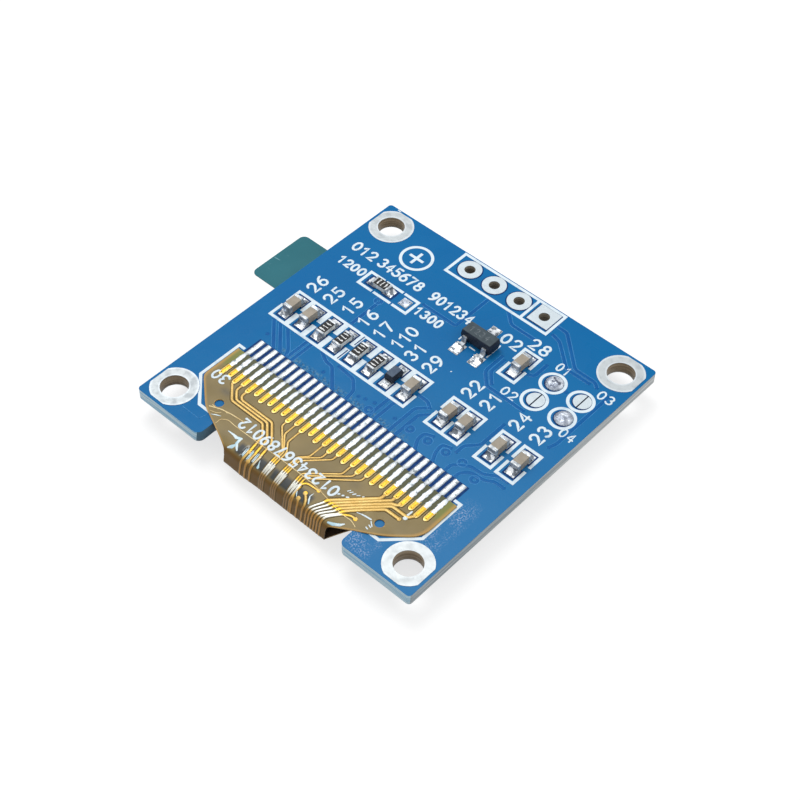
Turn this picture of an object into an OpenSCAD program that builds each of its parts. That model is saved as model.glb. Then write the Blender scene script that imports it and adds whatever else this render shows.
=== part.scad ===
// Small OLED display module. A blue circuit board carries a sealed glass display on its underside, and
// a folded flex cable that comes up through a notch and is soldered to the component side.
// Millimetres, +Z up. The component side faces +Z, the header holes lie at +Y and the cable's fold at -Y.
// The origin is on the axis of the four mounting holes, in the plane of the viewing side's outer film.

/* [Circuit board] */
// How far the board reaches past the glass on each side
board_margin = 0.3; // [0.1:0.05:0.6]
// Height of the board along Y
board_h = 27.8; // [27.3:0.1:32]
// Thickness of the board
board_t = 1.0; // [0.6:0.1:1.6]
// Corner radius of the board
board_corner_r = 0.3; // [0.1:0.1:0.8]
// Width of the notch that the cable comes up through
notch_w = 14.1; // [13:0.1:15.5]
// Depth of the notch
notch_depth = 2.1; // [1.6:0.1:2.4]
// Corner radius at the notch's mouth
notch_mouth_r = 0.55; // [0.2:0.05:0.9]

/* [Mounting holes] */
// Distance of the hole centres from the board's left and right edges
hole_edge_x = 1.9; // [1.8:0.05:2.2]
// Distance of the hole centres from the board's upper and lower edges
hole_edge_y = 2.0; // [1.9:0.05:2.2]
// Diameter of a mounting hole
hole_d = 2.2; // [1.8:0.1:2.6]
// Outer diameter of the tinned ring round a hole
ring_d = 3.74; // [3.2:0.02:3.9]
// Bare strip that is kept between a ring and the board's edges
ring_edge_gap = 0.25; // [0.1:0.05:0.4]

/* [Header holes] */
// Number of header holes
header_count = 4; // [3:1:5]
// Distance from hole to hole
header_pitch = 2.54; // [2.3:0.01:2.6]
// Distance of the row from the board's upper edge
header_edge = 1.38; // [1.3:0.02:1.6]
// Diameter of a plated hole
header_hole_d = 0.9; // [0.7:0.05:1.1]
// Diameter of a round land, and the side of the square one
header_land_d = 1.98; // [1.7:0.02:2.1]

/* [Copper lands] */
// Height of a land above the board's face
land_t = 0.035; // [0.02:0.005:0.07]
// Land length of a chip, along the chip
chip_land_l = 0.85; // [0.7:0.05:0.95]
// Land width of a chip
chip_land_w = 0.85; // [0.8:0.05:1]
// Distance over both lands of a chip
chip_land_span = 2.6; // [2.4:0.05:2.7]

/* [Chip parts] */
// Length of a chip capacitor or resistor
chip_l = 1.6; // [1.5:0.05:1.7]
// Width of a chip capacitor or resistor
chip_w = 0.8; // [0.7:0.05:0.9]
// Height of a capacitor
capacitor_h = 0.75; // [0.5:0.05:0.9]
// Height of a resistor
resistor_h = 0.45; // [0.35:0.05:0.6]
// Length of a chip's metal end
chip_end_l = 0.3; // [0.2:0.05:0.4]
// Thickness of the metal on a chip's end
chip_end_t = 0.025; // [0.02:0.005:0.05]
// Thickness of a resistor's dark glaze
glaze_t = 0.015; // [0.01:0.005:0.02]
// Height of the solder against a chip's end
solder_h = 0.36; // [0.2:0.02:0.4]
// Bare edge that solder leaves on a land
solder_edge = 0.03; // [0.01:0.01:0.06]
// Distance between the chips of the long row
row_pitch = 1.766; // [1.74:0.002:1.82]
// Place of the long row's left chip along X
row_x = -11.07; // [-11.2:0.01:-10.9]
// Place of the long row along Y
row_y = -0.07; // [-0.4:0.01:0.4]
// Places along X of the four capacitors right of the long row
right_capacitor_x = [5.0, 6.57, 9.75, 11.82];
// Place of the upright capacitor beside the regulator
upper_capacitor = [5.77, 7.32];
// Place of the middle one of the three address lands
address_xy = [-6.73, 6.25];
// Distance between the address lands
address_pitch = 1.67; // [1.65:0.01:1.75]

/* [Diode and regulator] */
// Diode body length, width and height
diode_size = [1.3, 0.86, 0.66];
// Width of the diode's flat leads
diode_lead_w = 0.6; // [0.4:0.02:0.8]
// Thickness of the diode's flat leads
diode_lead_t = 0.12; // [0.08:0.01:0.2]
// Regulator body length, width and height
regulator_size = [2.9, 1.3, 1.0];
// Place of the regulator
regulator_xy = [2.0, 6.97];
// Gap under the regulator's body
regulator_standoff = 0.1; // [0.05:0.01:0.15]
// Distance between the regulator's two lower legs
leg_pitch = 1.9; // [1.7:0.05:2]
// Distance over the legs' tips
leg_span = 2.5; // [2.3:0.05:2.7]
// Width of a leg
leg_w = 0.4; // [0.3:0.02:0.5]
// Thickness of a leg
leg_t = 0.13; // [0.1:0.01:0.16]
// Land length of a regulator leg
leg_land_l = 1.2; // [1:0.05:1.3]
// How far a leg's land reaches past the leg's tip
leg_land_past = 0.9; // [0.6:0.05:1]
// Land width of a regulator leg
leg_land_w = 0.92; // [0.7:0.02:1]
// Draft of the moulded bodies' sides, in degrees
mould_draft = 8; // [2:1:12]

/* [Jumpers] */
// Centre of the block of four jumpers
jumper_xy = [10.05, 6.56];
// Distance between jumpers along X
jumper_pitch_x = 2.64; // [2.4:0.02:2.8]
// Distance between jumpers along Y
jumper_pitch_y = 2.22; // [2.2:0.01:2.4]
// Diameter of a jumper's split land
jumper_land_d = 1.42; // [1.1:0.02:1.5]
// Width of the split
jumper_slit = 0.11; // [0.08:0.01:0.2]
// Diameter of the printed ring round a jumper
jumper_ring_d = 2.2; // [2:0.02:2.2]
// Height of the solder that bridges a jumper
bridge_h = 0.24; // [0.12:0.02:0.3]

/* [Legend] */
// Thickness of the printed white ink
ink_t = 0.015; // [0.01:0.005:0.03]
// Width of a printed line
line_w = 0.25; // [0.16:0.01:0.28]
// Misregister of the print against the copper, along X and Y
print_shift = [-0.1, -0.05];
// Size of the frame round a chip
chip_frame = [1.8, 3.5];
// Gap in the middle of a chip frame's long sides
chip_frame_gap = 0.42; // [0.2:0.02:0.6]
// Size of the frame round the three address lands
address_frame = [5.27, 1.8];
// Gap in the address frame's long sides
address_frame_gap = 0.16; // [0.1:0.01:0.3]
// Distance of those gaps from the frame's middle
address_gap_x = 0.98; // [0.9:0.01:1.05]
// Length of the frame past the header lands at each end
header_frame_margin = 0.44; // [0.3:0.02:0.6]
// Depth of the frame round the header lands
header_frame_depth = 2.75; // [2.6:0.05:3]
// Drop of that frame below the row of holes
header_frame_drop = 0.045; // [0:0.005:0.1]
// Gap between a printed outline and the body that it follows
outline_gap = 0.03; // [0.01:0.01:0.08]
// Length of the bracket's tick at the cable's end
bracket_tick = 0.6; // [0.3:0.05:0.8]
// Rise of the bracket past the cable's end
bracket_rise = 0.38; // [0.2:0.02:0.6]
// Diameter of the printed mark beside the header
mark_d = 2.84; // [2:0.02:3]
// Place of the printed mark
mark_xy = [-7.68, 10.62];

/* [Flex cable] */
// Number of contacts
contact_count = 30; // [30:1:32]
// Distance from contact to contact
contact_pitch = 0.7; // [0.66:0.01:0.72]
// Width of a gold contact on the cable
contact_w = 0.36; // [0.28:0.01:0.4]
// Width of a contact's land on the board
contact_land_w = 0.44; // [0.3:0.01:0.48]
// How far the lands show past the cable's end
contact_land_out = 1.82; // [1.2:0.02:2.2]
// How far the lands reach under the cable
contact_land_in = 1.6; // [1.2:0.02:2]
// Distance of the cable's end from the board's lower edge
cable_end = 7.87; // [7.6:0.01:8.2]
// Thickness of the cable
cable_t = 0.1; // [0.06:0.01:0.14]
// Margin of the cable past the outer contacts
cable_margin = 0.85; // [0.7:0.05:1]
// Straight length of the cable behind its end
cable_straight = 3.62; // [3.3:0.02:3.9]
// Width of the cable between its two tapers
cable_mid_w = 17.4; // [16.8:0.1:18]
// Length of the first taper
cable_taper = 1.98; // [1.7:0.02:2.1]
// Width of the cable's neck at the fold
neck_w = 10.6; // [10.2:0.1:11.4]
// Width of the cable where it is bonded to the glass
bond_w = 14.2; // [13.6:0.1:15]
// Length of the bond on the glass
bond_l = 1.5; // [1:0.1:1.8]
// Distance of the fold's outermost line from the board's lower edge
fold_inset = 0.31; // [0.2:0.01:0.5]
// Corner radius of the cable's outline
cable_corner_r = 0.9; // [0.3:0.1:1.2]
// Diameter of the cable's two locating holes
locating_hole_d = 0.74; // [0.5:0.02:0.9]
// Distance between the locating holes
locating_pitch = 16.1; // [15.7:0.1:16.3]
// Distance of the locating holes from the cable's end
locating_edge = 4.78; // [4.6:0.02:5]

/* [Cable contacts and traces] */
// Length of the shorter contacts
contact_short = 2.5; // [2.2:0.02:2.6]
// Length of the longer contacts
contact_long = 2.76; // [2.62:0.02:2.9]
// Length of the tinned part of a contact
tinned_l = 1.65; // [1.2:0.02:2]
// Height of the solder on a contact
contact_solder_t = 0.05; // [0.03:0.01:0.1]
// Diameter of the swelling of a solder run
solder_bulge_d = 0.5; // [0.4:0.01:0.52]
// Thickness of a gold trace or contact
trace_t = 0.02; // [0.01:0.005:0.03]
// Width of a wide trace
trace_w = 0.16; // [0.1:0.01:0.18]
// Width of a fine trace
fine_trace_w = 0.11; // [0.07:0.01:0.13]
// Distance between neighbouring traces of a bundle at the fold
bundle_pitch = 0.28; // [0.24:0.01:0.3]

/* [Display glass] */
// Width of the glass along X
glass_w = 26.7; // [25:0.1:27]
// Height of the glass along Y
glass_h = 19.26; // [18.6:0.02:19.6]
// Place of the glass's middle along X, against the board's middle
glass_x = -0.3; // [-0.3:0.05:0.3]
// Thickness of the front glass
front_glass_t = 0.7; // [0.5:0.05:0.9]
// Thickness of the cap glass
cap_glass_t = 0.55; // [0.5:0.05:0.8]
// Height of the front glass's free ledge
ledge_h = 4.1; // [3.8:0.1:4.6]
// How far the cap glass lies inside the front glass's other edges
cap_inset = 0.3; // [0.1:0.05:0.6]
// Depth of the hollow in the cap glass
cap_hollow = 0.3; // [0.25:0.01:0.4]
// Width of the cap glass's sealed rim
cap_rim = 1.1; // [0.8:0.05:1.4]
// Thickness of the drying pad in the cap glass
drying_pad_t = 0.14; // [0.1:0.01:0.2]
// Gap round the drying pad
drying_pad_gap = 1.2; // [0.5:0.1:2]
// Width and height of the emitter layer
emitter_size = [22.6, 11.8];
// Thickness of the emitter layer
emitter_t = 0.02; // [0.01:0.01:0.05]
// Thickness of the polarizer
polarizer_t = 0.2; // [0.1:0.02:0.3]
// How far the polarizer lies inside the glass
polarizer_inset = 0.35; // [0.2:0.05:0.6]
// Length, width and thickness of the driver chip
driver_size = [6.8, 0.9, 0.3];
// Distance between the bond and the driver chip
driver_gap = 0.6; // [0.3:0.1:0.8]
// Thickness of the foam tape
tape_t = 0.1; // [0.05:0.01:0.2]
// How far the tape lies inside the cap glass
tape_inset = 0.8; // [0.3:0.1:2]

/* [Protective film] */
// Thickness of the film and its tab
film_t = 0.06; // [0.04:0.01:0.12]
// How far the film lies inside the glass
film_inset = 0.25; // [0.1:0.05:0.5]
// Reach of the tab past the glass's left edge
tab_reach = 4.6; // [3:0.1:6]
// Width of the tab along Y
tab_w = 6.1; // [4:0.1:8]
// Place of the tab's middle along Y
tab_y = 5.2; // [2:0.1:5.2]
// Corner radius of the tab
tab_corner_r = 0.55; // [0.2:0.05:1.2]

/* [Hidden] */
// Numbers of the row's places that hold a capacitor, a resistor or the diode
row_capacitors = [0, 1, 7];
row_resistors = [2, 3, 4, 5];
row_diode = 6;
// Signs of the two jumper columns and rows; the first and the last jumper are bridged
jumper_signs = [[-1, 1], [-1, -1], [1, 1], [1, -1]];
bridged_jumpers = [0, 3];
hole_signs = [[-1, 1], [1, 1], [-1, -1], [1, -1]];

// Heights, from the film on the viewing side up to the component side
glass_face = film_t + polarizer_t;
ledge_z = glass_face + front_glass_t;
board_bottom = ledge_z + cap_glass_t + tape_t;
board_top = board_bottom + board_t;
land_top = board_top + land_t;
cable_top = land_top + cable_t;
copper_top = cable_top + trace_t;

// Sizes and lines across the board and the cable
board_w = glass_w + 2 * board_margin;
hole_x = board_w / 2 - hole_edge_x;
hole_y = board_h / 2 - hole_edge_y;
header_y = board_h / 2 - header_edge;
cable_end_y = -board_h / 2 + cable_end;
shoulder_y = cable_end_y - cable_straight;
mid_y = shoulder_y - cable_taper;
glass_edge_y = -glass_h / 2;
bond_y = glass_edge_y + bond_l;
cap_edge_y = glass_edge_y + ledge_h;

// The fold joins the cable's upper run to its lower run with a half circle
fold_r = (cable_top - ledge_z) / 2;
fold_z = (cable_top + ledge_z) / 2;
fold_out_y = -board_h / 2 + fold_inset;
fold_y = fold_out_y + fold_r;
neck_y = fold_out_y + 2 * cable_t;
cable_w = (contact_count - 1) * contact_pitch + 2 * cable_margin;

// Places of the chips: x, y and turn
capacitor_places = [
    for (i = row_capacitors) [row_x + i * row_pitch, row_y, 0],
    for (x = right_capacitor_x) [x, row_y, 0],
    [upper_capacitor.x, upper_capacitor.y, 0]
];
resistor_places = [
    for (i = row_resistors) [row_x + i * row_pitch, row_y, 0],
    [address_xy.x - address_pitch / 2, address_xy.y, 90]
];
diode_place = [row_x + row_diode * row_pitch, row_y, 0];
regulator_legs = [[-leg_pitch / 2, -1], [leg_pitch / 2, -1], [0, 1]];
leg_land_end = leg_span / 2 + leg_land_past;

function header_x(i) = (i - (header_count - 1) / 2) * header_pitch;
function contact_x(i) = (i - (contact_count - 1) / 2) * contact_pitch;
function contact_l(i) = i % 2 == 0 ? contact_long : contact_short;
function jumper_place(i) = jumper_xy
    + [jumper_signs[i].x * jumper_pitch_x / 2, jumper_signs[i].y * jumper_pitch_y / 2];
function hole_place(i) = [hole_signs[i].x * hole_x, hole_signs[i].y * hole_y];

// A band of even width along a line of points
function unit(v) = v / norm(v);
function band_side(p, i, s) =
    let (last = len(p) - 1,
         a = unit(i == 0 ? p[1] - p[0] : p[i] - p[i - 1]),
         b = i == last ? a : unit(p[i + 1] - p[i]),
         n = unit([-a.y - b.y, a.x + b.x]))
    p[i] + n * s / (n * [-a.y, a.x]);
function band(p, w) = concat(
    [for (i = [0 : len(p) - 1]) band_side(p, i, w / 2)],
    [for (i = [len(p) - 1 : -1 : 0]) band_side(p, i, -w / 2)]);

// An outline whose corners are rounded by a curve that starts at distance r from each corner
function rounded_corner(a, v, b, r, n = 5) =
    let (p = v + unit(a - v) * r, q = v + unit(b - v) * r)
    [for (k = [0 : n]) let (u = k / n) (1 - u) * (1 - u) * p + 2 * u * (1 - u) * v + u * u * q];
function half_cable_outline() = concat(
    [[cable_w / 2, cable_end_y]],
    rounded_corner([cable_w / 2, cable_end_y], [cable_w / 2, shoulder_y],
                   [cable_mid_w / 2, mid_y], cable_corner_r),
    rounded_corner([cable_w / 2, shoulder_y], [cable_mid_w / 2, mid_y],
                   [neck_w / 2, neck_y], cable_corner_r),
    [[neck_w / 2, neck_y], [neck_w / 2, fold_out_y - past]]);
function half_bond_outline() =
    [[neck_w / 2, fold_out_y - past], [neck_w / 2, neck_y], [bond_w / 2, glass_edge_y], [bond_w / 2, bond_y]];
function both_halves(p) = concat(p, [for (i = [len(p) - 1 : -1 : 0]) [-p[i].x, p[i].y]]);

// Traces as lines of points: place along X, and distance behind the cable's end
fold_d = cable_end_y - fold_y;
trace_lead = 0.2;
left_rows = [3.98, 3.7, 3.45];
left_starts = [2.8, 3.02, 3.17];
left_contacts = [2, 3, 4];
left_fold_x = -3.45;
left_pitch = 0.48;
left_gather_d = 4.85;
left_traces = [for (k = [0 : 2])
    let (x = contact_x(left_contacts[k]), xf = left_fold_x + k * left_pitch)
    [[x, contact_l(left_contacts[k])], [x, left_starts[k]],
     [x + left_rows[k] - left_starts[k], left_rows[k]],
     [xf - left_gather_d + left_rows[k], left_rows[k]], [xf, left_gather_d], [xf, fold_d]]];
// Fans in the middle: contact number, end of its straight stretch, place and start of the last stretch
fans = [
    [10, 3.15, -1.5, 4.75], [11, 3.58, -1.32, 4.8], [12, 3.95, -1.12, 4.7],
    [15, 3.85, -0.3, 4.55], [16, 3.36, -0.11, 4.45], [17, 2.95, 0.08, 4.62],
    [19, 3.42, 1.02, 5.3], [20, 3.06, 1.24, 5.4], [21, 2.92, 1.5, 5.5]
];
fan_traces = [for (f = fans)
    let (x = contact_x(f[0]))
    [[x, contact_l(f[0])], [x, f[1]], [f[2], f[3]], [f[2], fold_d]]];
// The right bundle runs aslant in parallel lines to the fold
right_first = 24;
right_start_d = 3.12;
right_gather_d = 5.42;
right_line_gap = 0.35;
right_fold_x = 3.4;
right_row_d = [3.1, 3.6];
right_heads = [
    [[contact_x(right_first), contact_long], [contact_x(right_first), right_start_d]],
    [[contact_x(right_first + 1), contact_short], [contact_x(right_first + 1), right_start_d - 0.4]],
    [[contact_x(right_first + 2), contact_long - 0.1], [right_line_x(2, 2.95) + 0.3, 2.85],
     [right_line_x(2, 2.95), 2.95]],
    [[contact_x(right_first + 4), contact_long - 0.1], [contact_x(right_first + 4) - 0.3, right_row_d[0]],
     [right_line_x(3, right_row_d[0]), right_row_d[0]]],
    [[contact_x(right_first + 3) + 0.05, right_row_d[1]], [right_line_x(4, right_row_d[1]), right_row_d[1]]]
];
function right_line_x(k, d) = contact_x(right_first) - (d - right_start_d) + k * right_line_gap;
right_traces = [for (k = [0 : 4])
    let (xf = right_fold_x + k * bundle_pitch)
    concat(right_heads[k],
           [[right_line_x(k, right_gather_d), right_gather_d], [xf, fold_d - trace_lead], [xf, fold_d]])];
// Short traces that start at a through-contact near the fold
stubs = [[2.25, 6.25, 2.25], [2.62, 5.98, 2.62], [3.05, 5.68, 3.02], [6.7, 5.64, 4.8]];
stub_traces = [for (s = stubs)
    s[0] == s[2] ? [[s[0], s[1]], [s[0], fold_d]]
    : [[s[0], s[1]], [s[2] + min(1, abs(s[0] - s[2])) * sign(s[0] - s[2]) * 0.9, s[1]],
       [s[2], fold_d - trace_lead], [s[2], fold_d]]];
wide_traces = concat(left_traces, right_traces, stub_traces);
starts_at_hole = concat([right_traces[4]], stub_traces);

// How far a cutting shape reaches past what it cuts
past = 1;
$fn = 24;

// Lays a flat profile, drawn as Y and Z, across the width w along X
module across(w) {
    rotate([90, 0, 90]) linear_extrude(w, center = true) children();
}

module at(place) {
    translate([place.x, place.y, land_top]) rotate([0, 0, place.z]) children();
}

module rounded_rect(w, h, r) {
    square([w - 2 * r, h], center = true);
    square([w, h - 2 * r], center = true);
    for (x = [-1, 1], y = [-1, 1]) translate([x * (w / 2 - r), y * (h / 2 - r)]) circle(r);
}

module frame_line(w, h, t) {
    difference() {
        square([w, h], center = true);
        square([w - 2 * t, h - 2 * t], center = true);
    }
}

module ring(outer_d, t) {
    difference() {
        circle(d = outer_d);
        circle(d = outer_d - 2 * t);
    }
}

// What a corner of radius r loses, with the corner at the origin and the plate towards +X and +Y
module corner_loss(r) {
    difference() {
        translate([-past, -past]) square(r + past);
        translate([r, r]) circle(r);
        translate([r, -past]) square(past + r);
        translate([-past, r]) square(past + r);
    }
}

// ---- Circuit board ----

module board_outline() {
    difference() {
        rounded_rect(board_w, board_h, board_corner_r);
        translate([0, -board_h / 2]) rounded_rect(notch_w, 2 * notch_depth, notch_mouth_r);
        for (s = [0, 1]) mirror([s, 0]) translate([notch_w / 2, -board_h / 2]) corner_loss(notch_mouth_r);
    }
}

module circuit_board() {
    color([0.1, 0.42, 0.68]) translate([0, 0, board_bottom]) linear_extrude(board_t) difference() {
        board_outline();
        for (i = [0 : 3]) translate(hole_place(i)) circle(d = hole_d);
        for (i = [0 : header_count - 1])
            translate([header_x(i), header_y]) circle(d = header_hole_d);
    }
}

module mounting_ring(i) {
    color([0.84, 0.86, 0.86]) for (z = [board_bottom - land_t, board_top])
        translate([0, 0, z]) linear_extrude(land_t) difference() {
            intersection() {
                translate(hole_place(i)) circle(d = ring_d);
                square([board_w - 2 * ring_edge_gap, board_h - 2 * ring_edge_gap], center = true);
            }
            translate(hole_place(i)) circle(d = hole_d);
        }
}

// A land on each face of the board; the last hole's are square
module header_land(i) {
    color([0.84, 0.86, 0.86]) for (z = [board_bottom - land_t, board_top])
        translate([header_x(i), header_y, z]) linear_extrude(land_t) difference() {
            if (i == header_count - 1) square(header_land_d, center = true);
            else circle(d = header_land_d);
            circle(d = header_hole_d);
        }
}

module contact_lands() {
    color([0.8, 0.82, 0.82]) for (i = [0 : contact_count - 1])
        translate([contact_x(i) - contact_land_w / 2, cable_end_y - contact_land_in, board_top])
            cube([contact_land_w, contact_land_out + contact_land_in, land_t]);
}

module land_pair() {
    for (s = [-1, 1]) translate([0, s * (chip_land_span - chip_land_l) / 2])
        square([chip_land_w, chip_land_l], center = true);
}

module chip_lands() {
    color([0.84, 0.84, 0.82]) translate([0, 0, board_top]) linear_extrude(land_t) {
        for (p = concat(capacitor_places, [diode_place])) translate([p.x, p.y]) land_pair();
        for (i = row_resistors) translate([row_x + i * row_pitch, row_y]) land_pair();
        for (s = [-1 : 1]) translate([address_xy.x + s * address_pitch, address_xy.y])
            square([chip_land_l, chip_land_w], center = true);
        for (leg = regulator_legs)
            translate(regulator_xy + [leg.x, leg.y * (leg_land_end - leg_land_l / 2)])
                square([leg_land_w, leg_land_l], center = true);
    }
}

module jumper_land(i) {
    color([0.84, 0.86, 0.86]) translate([0, 0, board_top]) linear_extrude(land_t)
        translate(jumper_place(i)) difference() {
            circle(d = jumper_land_d);
            square([jumper_slit, 2 * jumper_land_d], center = true);
        }
}

// A low dome of solder that joins the two halves of a jumper's land
module jumper_solder(i) {
    base_r = jumper_land_d / 2;
    dome_r = (base_r * base_r + bridge_h * bridge_h) / (2 * bridge_h);
    color([0.82, 0.83, 0.84]) translate([jumper_place(i).x, jumper_place(i).y, land_top])
        rotate_extrude() intersection() {
            translate([0, bridge_h - dome_r]) circle(dome_r);
            square([base_r, bridge_h]);
        }
}

// ---- Legend ----

module chip_frame_2d() {
    difference() {
        frame_line(chip_frame.x, chip_frame.y, line_w);
        square([2 * chip_frame.x, chip_frame_gap], center = true);
    }
}

module address_frame_2d() {
    difference() {
        frame_line(address_frame.x, address_frame.y, line_w);
        for (s = [-1, 1]) translate([s * address_gap_x, 0])
            square([address_frame_gap, 2 * address_frame.y], center = true);
    }
}

module header_frame_2d() {
    row_l = (header_count - 1) * header_pitch + header_land_d + 2 * header_frame_margin;
    frame_line(row_l, header_frame_depth, line_w);
    translate([header_x(header_count - 1.5), 0]) square([line_w, header_frame_depth], center = true);
}

module regulator_marks_2d() {
    side = [line_w / 2, regulator_size.y + leg_w];
    for (s = [-1, 1]) translate([s * (regulator_size.x - side.x) / 2, line_w / 2])
        square(side, center = true);
    translate([0, -(regulator_size.y + line_w) / 2]) square([1.5 * leg_w, line_w / 2], center = true);
}

// Bracket beside the cable: a tick at its end, a line along its edge, and a foot towards the notch
module cable_bracket_2d() {
    gap = line_w / 2 + outline_gap;
    top = cable_end_y + bracket_rise;
    foot = mid_y - gap;
    side_x = cable_w / 2 + gap;
    polygon(band([[side_x - bracket_tick, top], [side_x, top], [side_x, shoulder_y],
                  [cable_mid_w / 2 + 2 * gap, foot], [notch_w / 2 + contact_pitch, foot]], line_w));
}

module mark_2d() {
    ring(mark_d, line_w);
    for (a = [0, 90]) rotate(a) square([mark_d / 2, line_w], center = true);
}

module legend_2d() {
    for (p = concat(capacitor_places, [diode_place])) translate([p.x, p.y]) chip_frame_2d();
    for (i = row_resistors) translate([row_x + i * row_pitch, row_y]) chip_frame_2d();
    translate(address_xy) address_frame_2d();
    translate([0, header_y - header_frame_drop]) header_frame_2d();
    translate(regulator_xy) regulator_marks_2d();
    translate(mark_xy) mark_2d();
    for (i = [0 : 3]) translate(jumper_place(i)) ring(jumper_ring_d, line_w);
    for (s = [0, 1]) mirror([s, 0]) cable_bracket_2d();
}

module legend() {
    color([0.93, 0.96, 0.98]) translate([0, 0, board_top]) linear_extrude(ink_t) difference() {
        translate(print_shift) legend_2d();
        for (i = [0 : 3]) translate(hole_place(i)) circle(d = ring_d + 2 * outline_gap);
    }
}

// ---- Chips ----

// The space inside a chip's metal ends
module chip_core(h) {
    translate([0, 0, h / 2])
        cube([chip_w - 2 * chip_end_t, chip_l - 2 * chip_end_t, h - 2 * chip_end_t], center = true);
}

module chip_ends(h) {
    difference() {
        for (s = [-1, 1]) translate([0, s * (chip_l - chip_end_l) / 2, h / 2])
            cube([chip_w, chip_end_l, h], center = true);
        chip_core(h);
    }
}

module capacitor(i) {
    color([0.66, 0.57, 0.45]) at(capacitor_places[i]) chip_core(capacitor_h);
}

module capacitor_ends() {
    color([0.78, 0.78, 0.76]) for (p = capacitor_places) at(p) chip_ends(capacitor_h);
}

module resistor(i) {
    color([0.9, 0.9, 0.87]) at(resistor_places[i]) chip_core(resistor_h);
}

module resistor_glaze() {
    color([0.08, 0.08, 0.09]) for (p = resistor_places) at(p)
        translate([0, 0, resistor_h - chip_end_t + glaze_t / 2])
            cube([chip_w - 2 * chip_end_t, chip_l - 2 * chip_end_l, glaze_t], center = true);
}

module resistor_ends() {
    color([0.78, 0.78, 0.76]) for (p = resistor_places) at(p) chip_ends(resistor_h);
}

// Side view of a moulded body, widest at its parting line at half height
module moulded_side(w, h) {
    draft = h / 2 * tan(mould_draft);
    polygon([[draft - w / 2, 0], [w / 2 - draft, 0], [w / 2, h / 2], [w / 2 - draft, h],
             [draft - w / 2, h], [-w / 2, h / 2]]);
}

// A moulded body of length l along X and width w along Y
module moulded_body(l, w, h) {
    intersection() {
        across(2 * l) moulded_side(w, h);
        rotate([0, 0, 90]) across(2 * w) moulded_side(l, h);
    }
}

module diode_body() {
    moulded_body(diode_size.y, diode_size.x, diode_size.z);
}

module diode() {
    color([0.2, 0.23, 0.29]) at(diode_place) diode_body();
}

module diode_leads() {
    lead_l = (chip_land_span - diode_size.x) / 2;
    color([0.8, 0.8, 0.8]) at(diode_place) difference() {
        for (s = [-1, 1]) translate([0, s * diode_size.x / 2, diode_lead_t / 2])
            cube([diode_lead_w, lead_l, diode_lead_t], center = true);
        diode_body();
    }
}

module regulator_body() {
    translate([regulator_xy.x, regulator_xy.y, board_top + regulator_standoff])
        moulded_body(regulator_size.x, regulator_size.y, regulator_size.z);
}

module regulator() {
    color([0.2, 0.24, 0.29]) regulator_body();
}

// Side view of a bent leg, from inside the body to the foot's tip
module leg_side() {
    root_z = board_top + regulator_standoff + regulator_size.z / 2;
    knee = regulator_size.y / 2 + leg_t;
    polygon([[0, root_z - leg_t / 2], [knee - leg_t, root_z - leg_t / 2], [knee, land_top],
             [leg_span / 2, land_top], [leg_span / 2, land_top + leg_t], [knee + leg_t, land_top + leg_t],
             [knee, root_z + leg_t / 2], [0, root_z + leg_t / 2]]);
}

module regulator_legs() {
    color([0.82, 0.82, 0.82]) difference() {
        for (leg = regulator_legs) translate([regulator_xy.x + leg.x, regulator_xy.y, 0])
            rotate([0, 0, leg.y > 0 ? 0 : 180]) across(leg_w) leg_side();
        regulator_body();
    }
}

// Hollow side view of solder that climbs from the land's edge to height h at the origin
module solder_side(run, h) {
    polygon(concat([[0, 0]], [for (a = [0 : 18 : 90]) [run * (1 - cos(a)), h * (1 - sin(a))]]));
}

module solder_pair(start, w, h) {
    run = chip_land_span / 2 - start - solder_edge;
    for (a = [0, 180]) rotate([0, 0, a]) translate([0, start, 0]) across(w) solder_side(run, h);
}

module chip_solder() {
    lead_end = diode_size.x / 2 + (chip_land_span - diode_size.x) / 4;
    color([0.82, 0.83, 0.84]) {
        for (p = capacitor_places) at(p) solder_pair(chip_l / 2, chip_w, solder_h);
        for (p = resistor_places) at(p) solder_pair(chip_l / 2, chip_w, solder_h);
        at(diode_place) solder_pair(lead_end, diode_lead_w, diode_lead_t);
        for (leg = regulator_legs) translate([regulator_xy.x + leg.x, regulator_xy.y, land_top])
            rotate([0, 0, leg.y > 0 ? 0 : 180]) translate([0, leg_span / 2, 0])
                across(leg_land_w - 2 * solder_edge) solder_side(leg_land_past - solder_edge, 1.6 * leg_t);
    }
}

// ---- Flex cable ----

// Half ring of the fold between two radii
module fold_side(inner_r, outer_r) {
    translate([fold_y, fold_z]) difference() {
        circle(outer_r, $fn = 36);
        circle(inner_r, $fn = 36);
        translate([0, -2 * outer_r]) square(4 * outer_r);
    }
}

module cable_side() {
    translate([fold_y, land_top]) square([cable_end_y - fold_y, cable_t]);
    fold_side(fold_r - cable_t, fold_r);
    translate([fold_y, ledge_z]) square([bond_y - fold_y, cable_t]);
}

module flex_cable() {
    color([0.52, 0.45, 0.28]) difference() {
        intersection() {
            across(cable_w + 2 * past) cable_side();
            union() {
                translate([0, 0, fold_z]) linear_extrude(2 * fold_r)
                    polygon(both_halves(half_cable_outline()));
                translate([0, 0, fold_z - 2 * fold_r]) linear_extrude(2 * fold_r)
                    polygon(both_halves(half_bond_outline()));
            }
        }
        for (s = [-1, 1]) translate([s * locating_pitch / 2, cable_end_y - locating_edge, fold_z])
            cylinder(d = locating_hole_d, h = 2 * fold_r);
    }
}

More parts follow.
